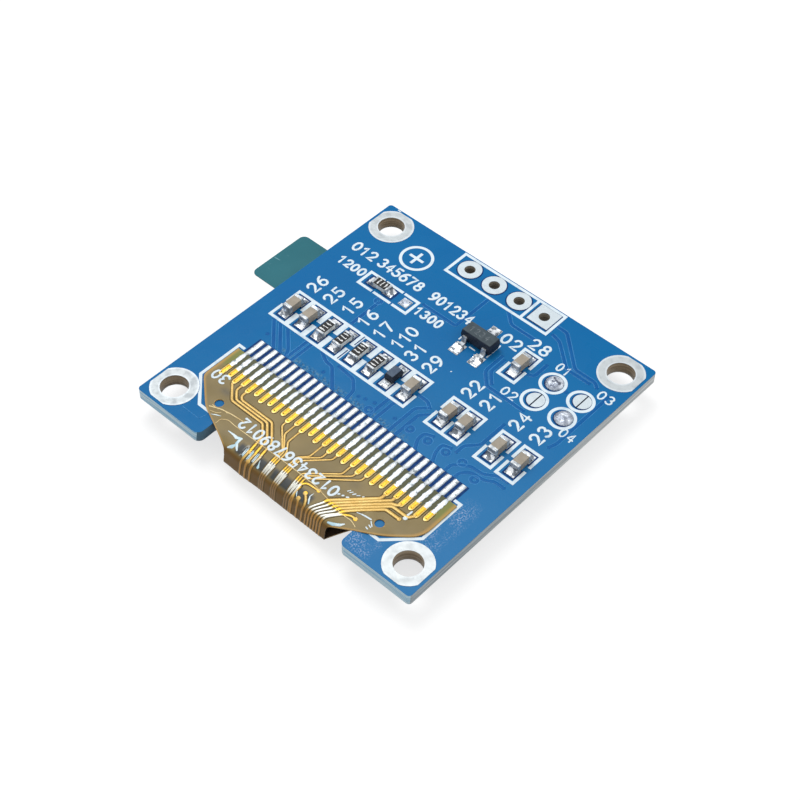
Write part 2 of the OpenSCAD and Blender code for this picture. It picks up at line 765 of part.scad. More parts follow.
// One trace: its line on the upper run, round the fold, and spread out on the lower run
module trace(line, w) {
    x = line[len(line) - 1].x;
    spread = bond_w / neck_w;
    translate([0, 0, cable_top]) linear_extrude(trace_t)
        polygon(band([for (p = line) [p.x, cable_end_y - p.y]], w));
    translate([x, 0, 0]) across(w) fold_side(fold_r, fold_r + trace_t);
    translate([0, 0, ledge_z - trace_t]) linear_extrude(trace_t)
        polygon(band([[x, fold_y], [x, fold_y + trace_lead], [x * spread, glass_edge_y - trace_lead],
                      [x * spread, glass_edge_y]], w));
}

module contact(i) {
    l = contact_l(i) - contact_w / 2;
    translate([contact_x(i), cable_end_y - l]) {
        circle(d = contact_w, $fn = 16);
        translate([-contact_w / 2, 0]) square([contact_w, l]);
    }
}

module cable_copper() {
    color([0.9, 0.68, 0.16]) {
        translate([0, 0, cable_top]) linear_extrude(trace_t) {
            for (i = [0 : contact_count - 1]) contact(i);
            for (line = starts_at_hole) translate([line[0].x, cable_end_y - line[0].y])
                circle(d = 0.8 * contact_w, $fn = 16);
        }
        for (line = wide_traces) trace(line, trace_w);
        for (line = fan_traces) trace(line, fine_trace_w);
    }
}

// Side view of a solder run: from the land, up over the cable's end, to the gold part of the contact
module solder_run_side() {
    out = cable_end_y + contact_land_out - contact_solder_t;
    top = copper_top + contact_solder_t;
    polygon([[out, land_top], [out - 3 * contact_solder_t, land_top + contact_solder_t],
             [cable_end_y + 3 * cable_t, land_top + contact_solder_t], [cable_end_y + cable_t / 2, top],
             [cable_end_y - tinned_l, top], [cable_end_y - tinned_l, copper_top],
             [cable_end_y, copper_top], [cable_end_y, land_top]]);
}

module solder_run_plan(i) {
    bulge = (i % 2 == 0 ? 0.54 : 0.78) * tinned_l;
    translate([contact_x(i), cable_end_y]) {
        translate([-contact_w / 2, -tinned_l]) square([contact_w, 2 * tinned_l]);
        translate([-contact_w / 2, 0]) square([contact_w, contact_land_out]);
        translate([0, -bulge]) circle(d = solder_bulge_d, $fn = 16);
    }
}

module contact_solder() {
    color([0.84, 0.85, 0.86]) for (i = [0 : contact_count - 1]) intersection() {
        translate([contact_x(i), 0, 0]) across(contact_pitch) solder_run_side();
        translate([0, 0, board_top]) linear_extrude(past) solder_run_plan(i);
    }
}

// ---- Display ----

// A plate of the display, between limits that are counted from the glass's middle
module plate(x0, x1, y0, y1, z0, z1) {
    translate([glass_x + x0, y0, z0]) cube([x1 - x0, y1 - y0, z1 - z0]);
}

module front_glass() {
    color([0.1, 0.12, 0.14, 0.8])
        plate(-glass_w / 2, glass_w / 2, glass_edge_y, glass_h / 2, glass_face, ledge_z);
}

module cap_glass() {
    x = glass_w / 2 - cap_inset;
    y = glass_h / 2 - cap_inset;
    color([0.2, 0.24, 0.26]) difference() {
        plate(-x, x, cap_edge_y, y, ledge_z, ledge_z + cap_glass_t);
        plate(cap_rim - x, x - cap_rim, cap_edge_y + cap_rim, y - cap_rim,
              ledge_z - past, ledge_z + cap_hollow);
    }
}

module emitter_layer() {
    y = (cap_edge_y + glass_h / 2 - cap_inset) / 2;
    color([0.5, 0.52, 0.55]) plate(-emitter_size.x / 2, emitter_size.x / 2, y - emitter_size.y / 2,
                                   y + emitter_size.y / 2, ledge_z, ledge_z + emitter_t);
}

module drying_pad() {
    x = glass_w / 2 - cap_inset - cap_rim - drying_pad_gap;
    top = ledge_z + cap_hollow;
    color([0.85, 0.85, 0.82]) plate(-x, x, cap_edge_y + cap_rim + drying_pad_gap,
        glass_h / 2 - cap_inset - cap_rim - drying_pad_gap, top - drying_pad_t, top);
}

module polarizer() {
    x = glass_w / 2 - polarizer_inset;
    color([0.06, 0.07, 0.08]) plate(-x, x, cap_edge_y - polarizer_inset, glass_h / 2 - polarizer_inset,
                                    film_t, glass_face);
}

module driver_chip() {
    y = bond_y + driver_gap;
    color([0.3, 0.31, 0.34]) plate(-driver_size.x / 2, driver_size.x / 2, y, y + driver_size.y,
                                   ledge_z, ledge_z + driver_size.z);
}

module foam_tape() {
    x = glass_w / 2 - cap_inset - tape_inset;
    color([0.12, 0.12, 0.12]) plate(-x, x, cap_edge_y + tape_inset, glass_h / 2 - cap_inset - tape_inset,
                                    board_bottom - tape_t, board_bottom);
}

module protective_film() {
    x = glass_w / 2 - film_inset;
    y = glass_h / 2 - film_inset;
    color([0.8, 0.88, 0.9, 0.5]) plate(-x, x, -y, y, 0, film_t);
}

// The tab is joined edge to edge to the film and reaches past the glass
module pull_tab() {
    root_x = glass_w / 2 - film_inset;
    tip_x = glass_w / 2 + tab_reach;
    color([0.22, 0.48, 0.5]) translate([glass_x, 0, 0]) linear_extrude(film_t) intersection() {
        translate([0, tab_y]) rounded_rect(2 * tip_x, tab_w, tab_corner_r);
        translate([-tip_x - past, tab_y - tab_w]) square([tip_x - root_x + past, 2 * tab_w]);
    }
}

circuit_board();
for (i = [0 : 3]) mounting_ring(i);
for (i = [0 : header_count - 1]) header_land(i);
contact_lands();
chip_lands();
for (i = [0 : 3]) jumper_land(i);
for (i = bridged_jumpers) jumper_solder(i);
legend();
for (i = [0 : len(capacitor_places) - 1]) capacitor(i);
capacitor_ends();
for (i = [0 : len(resistor_places) - 1]) resistor(i);
resistor_glaze();
resistor_ends();
diode();
diode_leads();
regulator();
regulator_legs();
chip_solder();
flex_cable();
cable_copper();
contact_solder();
front_glass();
cap_glass();
emitter_layer();
drying_pad();
polarizer();
driver_chip();
foam_tape();
protective_film();
pull_tab();
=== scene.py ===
import bisect
import math
import random

import bpy
from mathutils import Matrix, Quaternion, Vector, noise


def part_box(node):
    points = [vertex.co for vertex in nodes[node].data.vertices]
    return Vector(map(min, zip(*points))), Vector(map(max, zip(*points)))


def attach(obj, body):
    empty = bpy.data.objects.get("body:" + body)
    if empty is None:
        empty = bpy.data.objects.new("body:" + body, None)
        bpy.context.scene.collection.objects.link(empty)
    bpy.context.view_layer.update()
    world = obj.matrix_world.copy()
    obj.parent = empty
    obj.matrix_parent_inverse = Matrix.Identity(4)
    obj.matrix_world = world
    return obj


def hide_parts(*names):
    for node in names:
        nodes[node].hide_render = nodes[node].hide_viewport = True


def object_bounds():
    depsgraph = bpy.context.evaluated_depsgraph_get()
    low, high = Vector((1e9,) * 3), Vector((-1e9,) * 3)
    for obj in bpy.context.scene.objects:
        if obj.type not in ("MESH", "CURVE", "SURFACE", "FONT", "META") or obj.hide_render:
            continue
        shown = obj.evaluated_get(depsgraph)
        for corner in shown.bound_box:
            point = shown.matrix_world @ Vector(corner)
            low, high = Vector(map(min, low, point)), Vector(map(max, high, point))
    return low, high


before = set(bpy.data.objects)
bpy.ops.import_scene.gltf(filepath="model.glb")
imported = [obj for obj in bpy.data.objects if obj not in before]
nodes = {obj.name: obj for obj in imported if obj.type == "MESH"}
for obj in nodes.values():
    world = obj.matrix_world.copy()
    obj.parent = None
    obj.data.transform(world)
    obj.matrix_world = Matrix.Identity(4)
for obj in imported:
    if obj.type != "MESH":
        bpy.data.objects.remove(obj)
bpy.ops.object.select_all(action="DESELECT")
cad_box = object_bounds()
mm = 0.001

# ---- Camera ----
# It looks down on the component side from the right of the cable's end, a little rolled,
# as a hand-held camera over a small part on a table.
view_turn = math.radians(41.463)
view_height = math.radians(49.021)
back = Vector((
    math.sin(view_turn) * math.cos(view_height),
    -math.cos(view_turn) * math.cos(view_height),
    math.sin(view_height),
))
bpy.ops.object.camera_add(location=Vector((53.246, -60.115, 92.783)) * mm)
camera = bpy.context.object
aim = (-back).to_track_quat("-Z", "Y") @ Quaternion((0, 0, 1), math.radians(1.294))
camera.rotation_euler = aim.to_euler()
camera.data.lens = 72.65
camera.data.clip_start = 5 * mm
bpy.context.scene.camera = camera
bpy.context.scene.view_settings.view_transform = "Standard"

# ---- Studio ----
# A white table and a white room: a broad soft lamp above the header's end and an even fill.
# The camera, and what metal and glass mirror, see the room as plain white.


def add_node(tree, kind, settings=None, **sockets):
    node = tree.nodes.new(kind)
    for key, value in (settings or {}).items():
        setattr(node, key, value)
    for key, value in sockets.items():
        socket = node.inputs[int(key[1:])] if key[0] == "i" and key[1:].isdigit() else node.inputs[key]
        if isinstance(value, bpy.types.NodeSocket):
            tree.links.new(value, socket)
        else:
            socket.default_value = value
    return node


def calc(tree, operation, a, b=0.0, clamp=False):
    settings = {"operation": operation, "use_clamp": clamp}
    return add_node(tree, "ShaderNodeMath", settings, i0=a, i1=b).outputs[0]


def seen_directly(tree):
    path = add_node(tree, "ShaderNodeLightPath").outputs
    mirrored = calc(tree, "ADD", path["Is Glossy Ray"], path["Is Transmission Ray"])
    return calc(tree, "ADD", path["Is Camera Ray"], mirrored, clamp=True)


room = bpy.data.worlds.new("white_room")
room.use_nodes = True
bpy.context.scene.world = room
fill_strength = 0.62
strength = calc(room.node_tree, "MULTIPLY", seen_directly(room.node_tree), 1 - fill_strength)
strength = calc(room.node_tree, "ADD", strength, fill_strength)
background = room.node_tree.nodes["Background"]
background.inputs["Color"].default_value = (1, 1, 1, 1)
room.node_tree.links.new(strength, background.inputs["Strength"])

bpy.ops.mesh.primitive_plane_add(size=0.8, location=(0, 0, cad_box[0].z - 0.01 * mm))
table = bpy.context.object
table.name = "table"
paint = bpy.data.materials.new("white_table")
paint.use_nodes = True
tree = paint.node_tree
tree.nodes.clear()
matte = add_node(tree, "ShaderNodeBsdfDiffuse", Color=(0.38, 0.38, 0.38, 1)).outputs[0]
glow = add_node(tree, "ShaderNodeEmission", Color=(1, 1, 1, 1),
                Strength=calc(tree, "MULTIPLY", seen_directly(tree), 0.7)).outputs[0]
both = add_node(tree, "ShaderNodeAddShader", i0=matte, i1=glow).outputs[0]
# Seen from below, the table lets the part show
below = add_node(tree, "ShaderNodeNewGeometry").outputs["Backfacing"]
clear = add_node(tree, "ShaderNodeBsdfTransparent").outputs[0]
see_through = add_node(tree, "ShaderNodeMixShader", i0=below, i1=both, i2=clear).outputs[0]
add_node(tree, "ShaderNodeOutputMaterial", Surface=see_through)
table.data.materials.append(paint)

for lamp_name, place, size, power in (
    ("main_lamp", (-120, 60, 260), 150, 0.36),
    ("side_lamp", (170, 120, 190), 140, 0.07),
):
    bpy.ops.object.light_add(type="AREA", location=Vector(place) * mm)
    lamp = bpy.context.object
    lamp.name = lamp_name
    lamp.data.size = size * mm
    lamp.data.energy = power
    lamp.rotation_euler = (-Vector(place)).to_track_quat("-Z", "Y").to_euler()

# ---- Circuit board ----
# Glass-fibre laminate under a blue solder mask. It was routed out of a panel, so its sides and
# the drilled mounting holes show bare laminate with a little of the mask over the edge.


def tone(red, green, blue):
    """A shader's colour from parts of 0 to 255."""
    parts = []
    for value in (red, green, blue):
        value /= 255
        parts.append(value / 12.92 if value <= 0.04045 else ((value + 0.055) / 1.055) ** 2.4)
    return (*parts, 1.0)


def make_patches_group():
    group = bpy.data.node_groups.new("patches", "ShaderNodeTree")
    for label, kind, start in (
        ("Vector", "NodeSocketVector", None), ("Scale", "NodeSocketFloat", 1000.0),
        ("Detail", "NodeSocketFloat", 2.0), ("Low", "NodeSocketFloat", 0.4), ("High", "NodeSocketFloat", 0.6),
    ):
        socket = group.interface.new_socket(label, in_out="INPUT", socket_type=kind)
        if start is not None:
            socket.default_value = start
    group.interface.new_socket("Mask", in_out="OUTPUT", socket_type="NodeSocketFloat")
    given = group.nodes.new("NodeGroupInput").outputs
    cloud = add_node(group, "ShaderNodeTexNoise", Vector=given["Vector"], Scale=given["Scale"],
                     Detail=given["Detail"])
    mask = add_node(group, "ShaderNodeMapRange", {"interpolation_type": "SMOOTHSTEP"},
                    Value=cloud.outputs["Fac"])
    group.links.new(given["Low"], mask.inputs["From Min"])
    group.links.new(given["High"], mask.inputs["From Max"])
    add_node(group, "NodeGroupOutput", Mask=mask.outputs["Result"])
    return group


patches_group = make_patches_group()


def times(tree, *masks):
    """Multiplies masks, each a socket or a plain share."""
    product = masks[0]
    for mask in masks[1:]:
        product = calc(tree, "MULTIPLY", product, mask)
    return product


def ramp(tree, value, start, end, low=0, high=1):
    node = add_node(tree, "ShaderNodeMapRange", Value=value)
    for key, number in (("From Min", start), ("From Max", end), ("To Min", low), ("To Max", high)):
        node.inputs[key].default_value = number
    return node.outputs[0]


def band(tree, value, low, high, soft=0.1):
    """A soft-edged mask between two places, in millimetres."""
    rise = ramp(tree, value, (low - soft) * mm, (low + soft) * mm)
    fall = ramp(tree, value, (high - soft) * mm, (high + soft) * mm, 1, 0)
    return times(tree, rise, fall)


def mix(tree, mask, first, second):
    """The first colour where the mask is 0 and the second where it is 1; each is parts or a socket."""
    node = tree.nodes.new("ShaderNodeMix")
    node.data_type = "RGBA"
    for socket, value in ((node.inputs[0], mask), (node.inputs[6], first), (node.inputs[7], second)):
        if isinstance(value, bpy.types.NodeSocket):
            tree.links.new(value, socket)
        else:
            socket.default_value = tone(*value)
    return node.outputs[2]


class Finish:
    """A material whose colour is laid on in coats, each through a mask."""

    def __init__(self, name, roughness, metallic=0.0, gloss=0.5):
        self.material = bpy.data.materials.new(name)
        self.material.use_nodes = True
        self.tree = self.material.node_tree
        self.shader = self.tree.nodes["Principled BSDF"]
        self.shader.inputs["Roughness"].default_value = roughness
        self.shader.inputs["Metallic"].default_value = metallic
        self.shader.inputs["Specular IOR Level"].default_value = gloss
        self.place = self.tree.nodes.new("ShaderNodeTexCoord").outputs["Object"]
        self.color = None

    def along(self, axis):
        """The surface's own place along X, Y or Z."""
        return add_node(self.tree, "ShaderNodeSeparateXYZ", Vector=self.place).outputs[axis]

    def facing(self, axis):
        """How far the surface faces along X, Y or Z."""
        normal = add_node(self.tree, "ShaderNodeNewGeometry").outputs["Normal"]
        return add_node(self.tree, "ShaderNodeSeparateXYZ", Vector=normal).outputs[axis]

    def area(self, **spans):
        """A soft-edged mask, for each axis from a low to a high place with a softness."""
        return times(self.tree, *[band(self.tree, self.along(axis), *span) for axis, span in spans.items()])

    def patches(self, scale, low=0.4, high=0.6, detail=2.0, stretch=None):
        """A mask of soft clouds, finer as the scale grows and wider apart as low and high rise."""
        place = self.place
        if stretch:
            place = add_node(self.tree, "ShaderNodeMapping", Vector=place, Scale=stretch).outputs[0]
        node = add_node(self.tree, "ShaderNodeGroup", {"node_tree": patches_group}, Vector=place)
        for key, value in (("Scale", scale), ("Low", low), ("High", high), ("Detail", detail)):
            node.inputs[key].default_value = value
        return node.outputs["Mask"]

    def coat(self, mask, color, share=1.0):
        """Lays a colour over the one that is there, through a mask and at most by the share."""
        self.color = mix(self.tree, times(self.tree, mask, share), self.color, color)
        self.tree.links.new(self.color, self.shader.inputs["Base Color"])

    def mottle(self, first, second, scale, low=0.4, high=0.6, detail=2.0):
        """Starts with two colours in soft patches."""
        self.color = first
        self.coat(self.patches(scale, low, high, detail), second)

    def grain(self, scale, depth, strength, low=0.3, high=0.7, detail=2.0):
        """Raises soft patches by a depth in millimetres."""
        height = self.patches(scale, low, high, detail)
        node = add_node(self.tree, "ShaderNodeBump", Height=height, Distance=depth * mm, Strength=strength)
        self.tree.links.new(node.outputs[0], self.shader.inputs["Normal"])

    def roughen(self, mask, smooth, rough):
        self.tree.links.new(ramp(self.tree, mask, 0, 1, smooth, rough), self.shader.inputs["Roughness"])


def work_on(*pieces):
    bpy.ops.object.select_all(action="DESELECT")
    for piece in pieces:
        piece.select_set(True)
    bpy.context.view_layer.objects.active = pieces[0]


def dress(piece, finish):
    piece.data.materials.clear()
    piece.data.materials.append(finish.material)
    for face in piece.data.polygons:
        face.material_index = 0


def seat(piece, finish, slot_name, *replaced):
    """Dresses a piece and fixes it to the module, in the place of the plain solids that it replaces."""
    dress(piece, finish)
    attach(piece, "root")
    if replaced:
        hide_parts(*replaced)


def merged_copy(node_name, piece_name):
    """A copy of a plain solid, its loose triangles merged into faces."""
    piece = bpy.data.objects.new(piece_name, nodes[node_name].data.copy())
    bpy.context.scene.collection.objects.link(piece)
    work_on(piece)
    bpy.ops.object.mode_set(mode="EDIT")
    bpy.ops.mesh.select_all(action="SELECT")
    bpy.ops.mesh.remove_doubles(threshold=0.0005 * mm)
    bpy.ops.mesh.dissolve_limited(angle_limit=math.radians(0.5))
    bpy.ops.object.mode_set(mode="OBJECT")
    return piece


def round_edges(piece, width, segments=2, angle=30):
    work_on(piece)
    bevel = piece.modifiers.new("edges", "BEVEL")
    bevel.width = width * mm
    bevel.segments = segments
    bevel.limit_method = "ANGLE"
    bevel.angle_limit = math.radians(angle)
    bevel.harden_normals = True
    bpy.ops.object.shade_smooth()
    bpy.ops.object.modifier_apply(modifier=bevel.name)
    for face in piece.data.polygons:
        if max(abs(share) for share in face.normal) > 0.9999:
            face.use_smooth = False


board_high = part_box("circuit_board")[1]
board_top = board_high.z / mm
half_w = board_high.x / mm
half_h = board_high.y / mm


def painted_light_toward_low_right(finish):
    """A mask that grows across the board towards its lower right, where painted light makes it a little
    paler.
    """
    return finish.area(X=(2, 99, 11), Y=(-99, 4, 9))


board_finish = Finish("solder_mask_board", 0.35, gloss=0.08)
tree = board_finish.tree
board_finish.color = (10, 107, 167)
board_finish.coat(board_finish.patches(160, 0.35, 0.7), (6, 96, 160), 0.35)
# Painted light: the board is a little paler towards its lower right
board_finish.coat(painted_light_toward_low_right(board_finish), (46, 119, 175))
# Flux left along the row of contacts, and fine white scuffs near the lower right corner
upward = calc(tree, "GREATER_THAN", board_finish.facing("Z"), 0.6)
smudge = times(tree, board_finish.area(X=(-9, 4, 1), Y=(-4.3, -3.6, 0.12)), upward)
board_finish.coat(times(tree, smudge, board_finish.patches(5200, 0.46, 0.6, 3)), (112, 152, 168), 0.5)
board_finish.coat(times(tree, smudge, board_finish.patches(7600, 0.54, 0.6)), (16, 68, 112), 0.7)
beside_edge = board_finish.area(X=(11.2, 12.4, 0.4), Y=(-10.0, -5.5, 0.9))
near_corner = board_finish.area(X=(7.2, 9.3, 0.3), Y=(-13.6, -11.9, 0.3))
scuffs = times(tree, board_finish.patches(8400, 0.5, 0.6, 3), board_finish.patches(700, 0.36, 0.56), upward)
scuffs = times(tree, scuffs, calc(tree, "ADD", beside_edge, near_corner, True))
board_finish.coat(scuffs, (186, 200, 228), 0.6)
# The cut sides show glass fibre in layers, paler towards the header's end, and the holes a warmer brown.
# Painted light makes the front sides paler, and painted shade darkens the notch's wall and, darkest, the
# header's holes
layers = board_finish.patches(900, 0.4, 0.62, stretch=(0.15, 0.15, 6))
off_x = calc(tree, "ABSOLUTE", board_finish.along("X"))
off_y = calc(tree, "ABSOLUTE", board_finish.along("Y"))
rim_width = 0.5
in_hole = times(tree, calc(tree, "LESS_THAN", off_x, (half_w - rim_width) * mm),
                calc(tree, "LESS_THAN", off_y, (half_h - rim_width) * mm),
                calc(tree, "GREATER_THAN", off_x, 10 * mm))
notch_shade_mask = times(tree, calc(tree, "GREATER_THAN", board_finish.facing("X"), 0.5),
                 calc(tree, "LESS_THAN", board_finish.along("X"), 0.0),
                 calc(tree, "SUBTRACT", 1.0, in_hole))
header_hole_shade_mask = times(tree, calc(tree, "GREATER_THAN", board_finish.along("Y"), (half_h - 2.2) * mm),
                  calc(tree, "LESS_THAN", board_finish.along("Y"), (half_h - 0.6) * mm),
                  calc(tree, "LESS_THAN", off_x, 5 * mm))
side_color = mix(tree, layers, (186, 196, 200), (150, 162, 168))
# Painted light on the front faces; painted shade on the notch's wall and in the header's holes
for mask, pale, dark in (
    (board_finish.area(Y=(5, 99, 9)), (226, 230, 230), (196, 202, 204)),
    (calc(tree, "LESS_THAN", board_finish.facing("Y"), -0.5), (214, 240, 252), (160, 208, 236)),
    (in_hole, (176, 160, 136), (146, 130, 108)),
    (notch_shade_mask, (86, 120, 140), (86, 120, 140)),
    (header_hole_shade_mask, (150, 142, 128), (112, 104, 92)),
):
    side_color = mix(tree, mask, side_color, mix(tree, layers, pale, dark))
steep = calc(tree, "LESS_THAN", calc(tree, "ABSOLUTE", board_finish.facing("Z")), 0.6)
board_finish.coat(steep, side_color)
board_finish.grain(2600, 0.004, 0.4)
board_finish.roughen(board_finish.patches(700, 0.3, 0.7), 0.24, 0.36)

board = merged_copy("circuit_board", "board")
round_edges(board, 0.05)
seat(board, board_finish, "board_mask", "circuit_board")

# ---- Tinned rings and lands ----
# Bare copper rings, header lands and chip lands, levelled with hot tin, so they are bright
# and a little uneven. A thin gap in the mask lets the darker laminate show round each.
tin_finish = Finish("levelled_tin", 0.45, metallic=0.3)
tree = tin_finish.tree
dull = tin_finish.patches(1500, 0.42, 0.68, 3)
tin_finish.color = (186, 193, 196)
tin_finish.coat(dull, (172, 179, 183))
# Painted highlights: the tin is brighter at a ring's outer and inner edge, and on the lower right ring
hole_from_side = 1.9
hole_from_end = 2.0
off_x = calc(tree, "SUBTRACT", calc(tree, "ABSOLUTE", tin_finish.along("X")), (half_w - hole_from_side) * mm)
off_y = calc(tree, "SUBTRACT", calc(tree, "ABSOLUTE", tin_finish.along("Y")), (half_h - hole_from_end) * mm)
reach = calc(tree, "SQRT", calc(tree, "ADD", times(tree, off_x, off_x), times(tree, off_y, off_y)))
edges = calc(tree, "ADD", band(tree, reach, 1.0, 1.2, 0.04), band(tree, reach, 1.72, 2.0, 0.05), True)
tin_finish.coat(edges, (208, 216, 222), 0.7)
tin_finish.coat(tin_finish.area(X=(6, 99, 1), Y=(-99, -9, 0.5)), (202, 208, 210), 0.8)
on_header = tin_finish.area(X=(-5.5, 5.5, 0.5), Y=(half_h - 2.6, 99, 0.1))
on_jumpers = tin_finish.area(X=(5, 99, 0.5), Y=(0, 9, 0.5))
tin_finish.coat(calc(tree, "ADD", on_header, on_jumpers, True), (197, 209, 216), 0.8)
tin_finish.grain(1900, 0.012, 0.5, detail=3)
tin_finish.roughen(dull, 0.42, 0.55)

header_nodes = [f"header_land_{k}" for k in (1, 2, 3, 4)]
jumper_nodes = [f"jumper_land_{k}" for k in (1, 2, 3, 4)]
ring_nodes = [f"mounting_ring_{k}" for k in (1, 2, 3, 4)]
for name in header_nodes + jumper_nodes + ring_nodes + ["chip_lands"]:
    dress(nodes[name], tin_finish)


def draw_set(name):
    """An empty set of pen strokes."""
    bpy.ops.curve.primitive_bezier_curve_add()
    piece = bpy.context.object
    piece.name = name
    piece.location = (0, 0, 0)
    piece.data.splines.clear()
    piece.data.dimensions = "3D"
    piece.data.twist_mode = "Z_UP"
    piece.data.bevel_depth = 0.5 * mm
    piece.data.bevel_resolution = 2
    piece.data.use_fill_caps = True
    return piece


def draw(piece, points, width, closed=False, widths=None, ends="round"):
    """Adds a pen stroke with round ends, in millimetres on the flat. widths are shares of the width."""
    points = [Vector(p) for p in points]
    widths = list(widths or [1.0] * len(points))
    if not closed and ends == "round":
        head = (points[0] - points[1]).normalized() * width * widths[0] / 2
        tail = (points[-1] - points[-2]).normalized() * width * widths[-1] / 2
        swing = [math.radians(a) for a in (86, 55, 25)]
        first = [points[0] + head * math.sin(a) for a in swing]
        last = [points[-1] + tail * math.sin(a) for a in reversed(swing)]
        points = first + points + last
        widths = ([widths[0] * math.cos(a) for a in swing] + widths
                  + [widths[-1] * math.cos(a) for a in reversed(swing)])
    spline = piece.data.splines.new("POLY")
    spline.points.add(len(points) - 1)
    spline.use_cyclic_u = closed
    for knot, point, share in zip(spline.points, points, widths):
        knot.co = (point.x * mm, point.y * mm, 0, 1)
        knot.radius = share * width


def arc(x, y, radius_x, radius_y, start, end, steps=10):
    """Points of an arc round a centre, between two angles in degrees."""
    angles = [math.radians(start + (end - start) * k / steps) for k in range(steps + 1)]
    return [(x + radius_x * math.cos(a), y + radius_y * math.sin(a)) for a in angles]


def square(x, y, reach):
    """A closed outline, with a point at each corner and half way along each side."""
    steps = ((-1, -1), (0, -1), (1, -1), (1, 0), (1, 1), (0, 1), (-1, 1), (-1, 0))
    return [(x + a * reach, y + b * reach) for a, b in steps]


def to_mesh(piece, flatness, lift):
    """Turns pen strokes into a mesh, presses them flat and lays them at a height, in millimetres."""
    work_on(piece)
    bpy.ops.object.convert(target="MESH")
    for vertex in piece.data.vertices:
        vertex.co.z = vertex.co.z * flatness + lift * mm
    bpy.ops.object.shade_smooth()


def lay_on_board(piece, flatness, height, finish, slot_name):
    """Presses pen strokes flat at a height and fixes them to the board."""
    to_mesh(piece, flatness, height)
    seat(piece, finish, slot_name)


def middle(node_name):
    """The middle and the size of a plain solid, in millimetres."""
    low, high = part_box(node_name)
    return (low + high) / 2 / mm, (high - low) / mm


# The gaps and slots are drawn as dark films, pressed very thin, which lie a hair above the board
hair = 0.002
pressed_thin = 0.02
gap_width = 0.12
gap_reach = 0.05
gap_finish = Finish("mask_gap", 0.6, gloss=0.1)
gap_finish.mottle((12, 52, 108), (20, 66, 124), 2500)
gaps = draw_set("mask_gaps")
for name in header_nodes[:3] + jumper_nodes:
    centre, size = middle(name)
    reach = size.y / 2 + gap_reach
    draw(gaps, arc(centre.x, centre.y, reach, reach, 0, 350, 35), gap_width, closed=True)
centre, size = middle(header_nodes[3])
draw(gaps, square(centre.x, centre.y, size.x / 2 + gap_reach), gap_width, closed=True)
lay_on_board(gaps, pressed_thin, board_top + hair, gap_finish, "board_mask")
# A narrow slot splits each jumper land in two
slot_width = 0.16
slot_finish = Finish("slot_in_the_mask", 0.7, gloss=0.1)
slot_finish.mottle((14, 24, 44), (24, 38, 64), 2500)
slots = draw_set("jumper_slots")
for name in jumper_nodes:
    centre, size = middle(name)
    draw(slots, [(centre.x, centre.y - size.y / 2), (centre.x, centre.y + size.y / 2)], slot_width)
lay_on_board(slots, pressed_thin, board_top + 1.5 * hair, slot_finish, "board_mask")

# ---- Traces under the mask ----
# Copper runs and via rings that stand a few hundredths of a millimetre proud under the blue mask,
# which pools along their sides and looks a little more violet there.
trace_finish = Finish("solder_mask_traces", 0.3, gloss=0.08)
trace_finish.mottle((12, 96, 163), (10, 89, 157), 400, 0.35, 0.65)
# Painted light: the traces too are a little paler towards the board's lower right
trace_finish.coat(painted_light_toward_low_right(trace_finish), (30, 103, 167))
trace_finish.grain(2600, 0.004, 0.4)


def rounded(points, reach, steps=3):
    """Cuts each inner corner of a line with a short curve that starts at a distance from it."""
    points = [Vector(p) for p in points]
    line = [points[0]]
    for before, corner, after in zip(points, points[1:], points[2:]):
        near = min(reach, (before - corner).length / 2, (after - corner).length / 2)
        start = corner + (before - corner).normalized() * near
        end = corner + (after - corner).normalized() * near
        for k in range(steps + 1):
            t = k / steps
            line.append(start * (1 - t) ** 2 + corner * 2 * t * (1 - t) + end * t * t)
    return line + [points[-1]]


mask_runs = [
    [(5.1, 12.42), (6.15, 12.42), (8.95, 9.85), (10.9, 9.85), (11.3, 9.5)],
    [(5.5, 11.5), (6.3, 11.3), (8.45, 9.45), (10.6, 9.45)],
    [(1.5, 11.0), (2.45, 10.15), (5.0, 10.15)],
    [(-0.6, 11.0), (-0.6, 7.1), (-3.9, 7.1)],
    [(4.1, 7.1), (4.1, 5.15), (5.15, 4.05), (8.7, 4.0)],
    [(4.45, 6.9), (4.45, 5.35), (5.3, 4.45)],
    [(7.15, 8.7), (7.15, 7.2), (6.7, 7.05)],
    [(12.5, 9.3), (12.5, 3.2), (12.3, 2.6)],
    [(8.55, 2.0), (8.55, -0.6), (7.7, -1.5), (7.7, -2.3)],
    [(2.05, -0.12), (3.0, -0.12), (3.5, -0.5)],
    [(3.5, -0.5), (2.75, -1.25), (2.75, -4.1)],
    [(3.95, -1.0), (3.37, -1.55), (3.37, -4.1)],
    [(0.7, -1.95), (0.7, -4.1)],
    [(1.25, -1.95), (1.25, -4.1)],
    [(5.5, -2.35), (4.85, -2.6), (4.85, -3.3), (5.3, -4.1)],
    [(7.15, -2.3), (6.5, -2.5), (6.6, -3.3), (7.0, -4.1)],
    [(12.2, -1.9), (11.3, -1.95), (10.4, -2.55), (9.3, -2.6), (8.2, -3.4), (8.2, -4.1)],
    [(12.3, -2.5), (11.4, -2.5), (10.9, -2.9), (9.7, -3.0), (9.1, -3.6), (9.1, -4.1)],
    [(-6.62, 4.9), (-6.62, 1.9)],
    [(-11.3, -1.95), (-9.2, -4.1)],
    [(-10.6, -1.95), (-8.5, -4.1)],
    [(-9.8, -1.95), (-8.2, -3.5), (-7.9, -4.1)],
    [(-7.75, -1.95), (-7.75, -4.1)],
    [(-7.3, -1.95), (-7.3, -4.1)],
    [(-6.1, -1.95), (-5.3, -2.4), (-4.6, -2.45), (-3.0, -4.1)],
    [(-4.2, -2.1), (-2.6, -2.25), (-1.75, -3.1), (-1.6, -4.1)],
]
mask_vias = [
    (3.8, -3.0), (5.5, -2.95), (7.15, -2.85), (8.65, -2.75), (10.3, -3.35), (0.35, -3.7), (-6.75, 5.0),
]
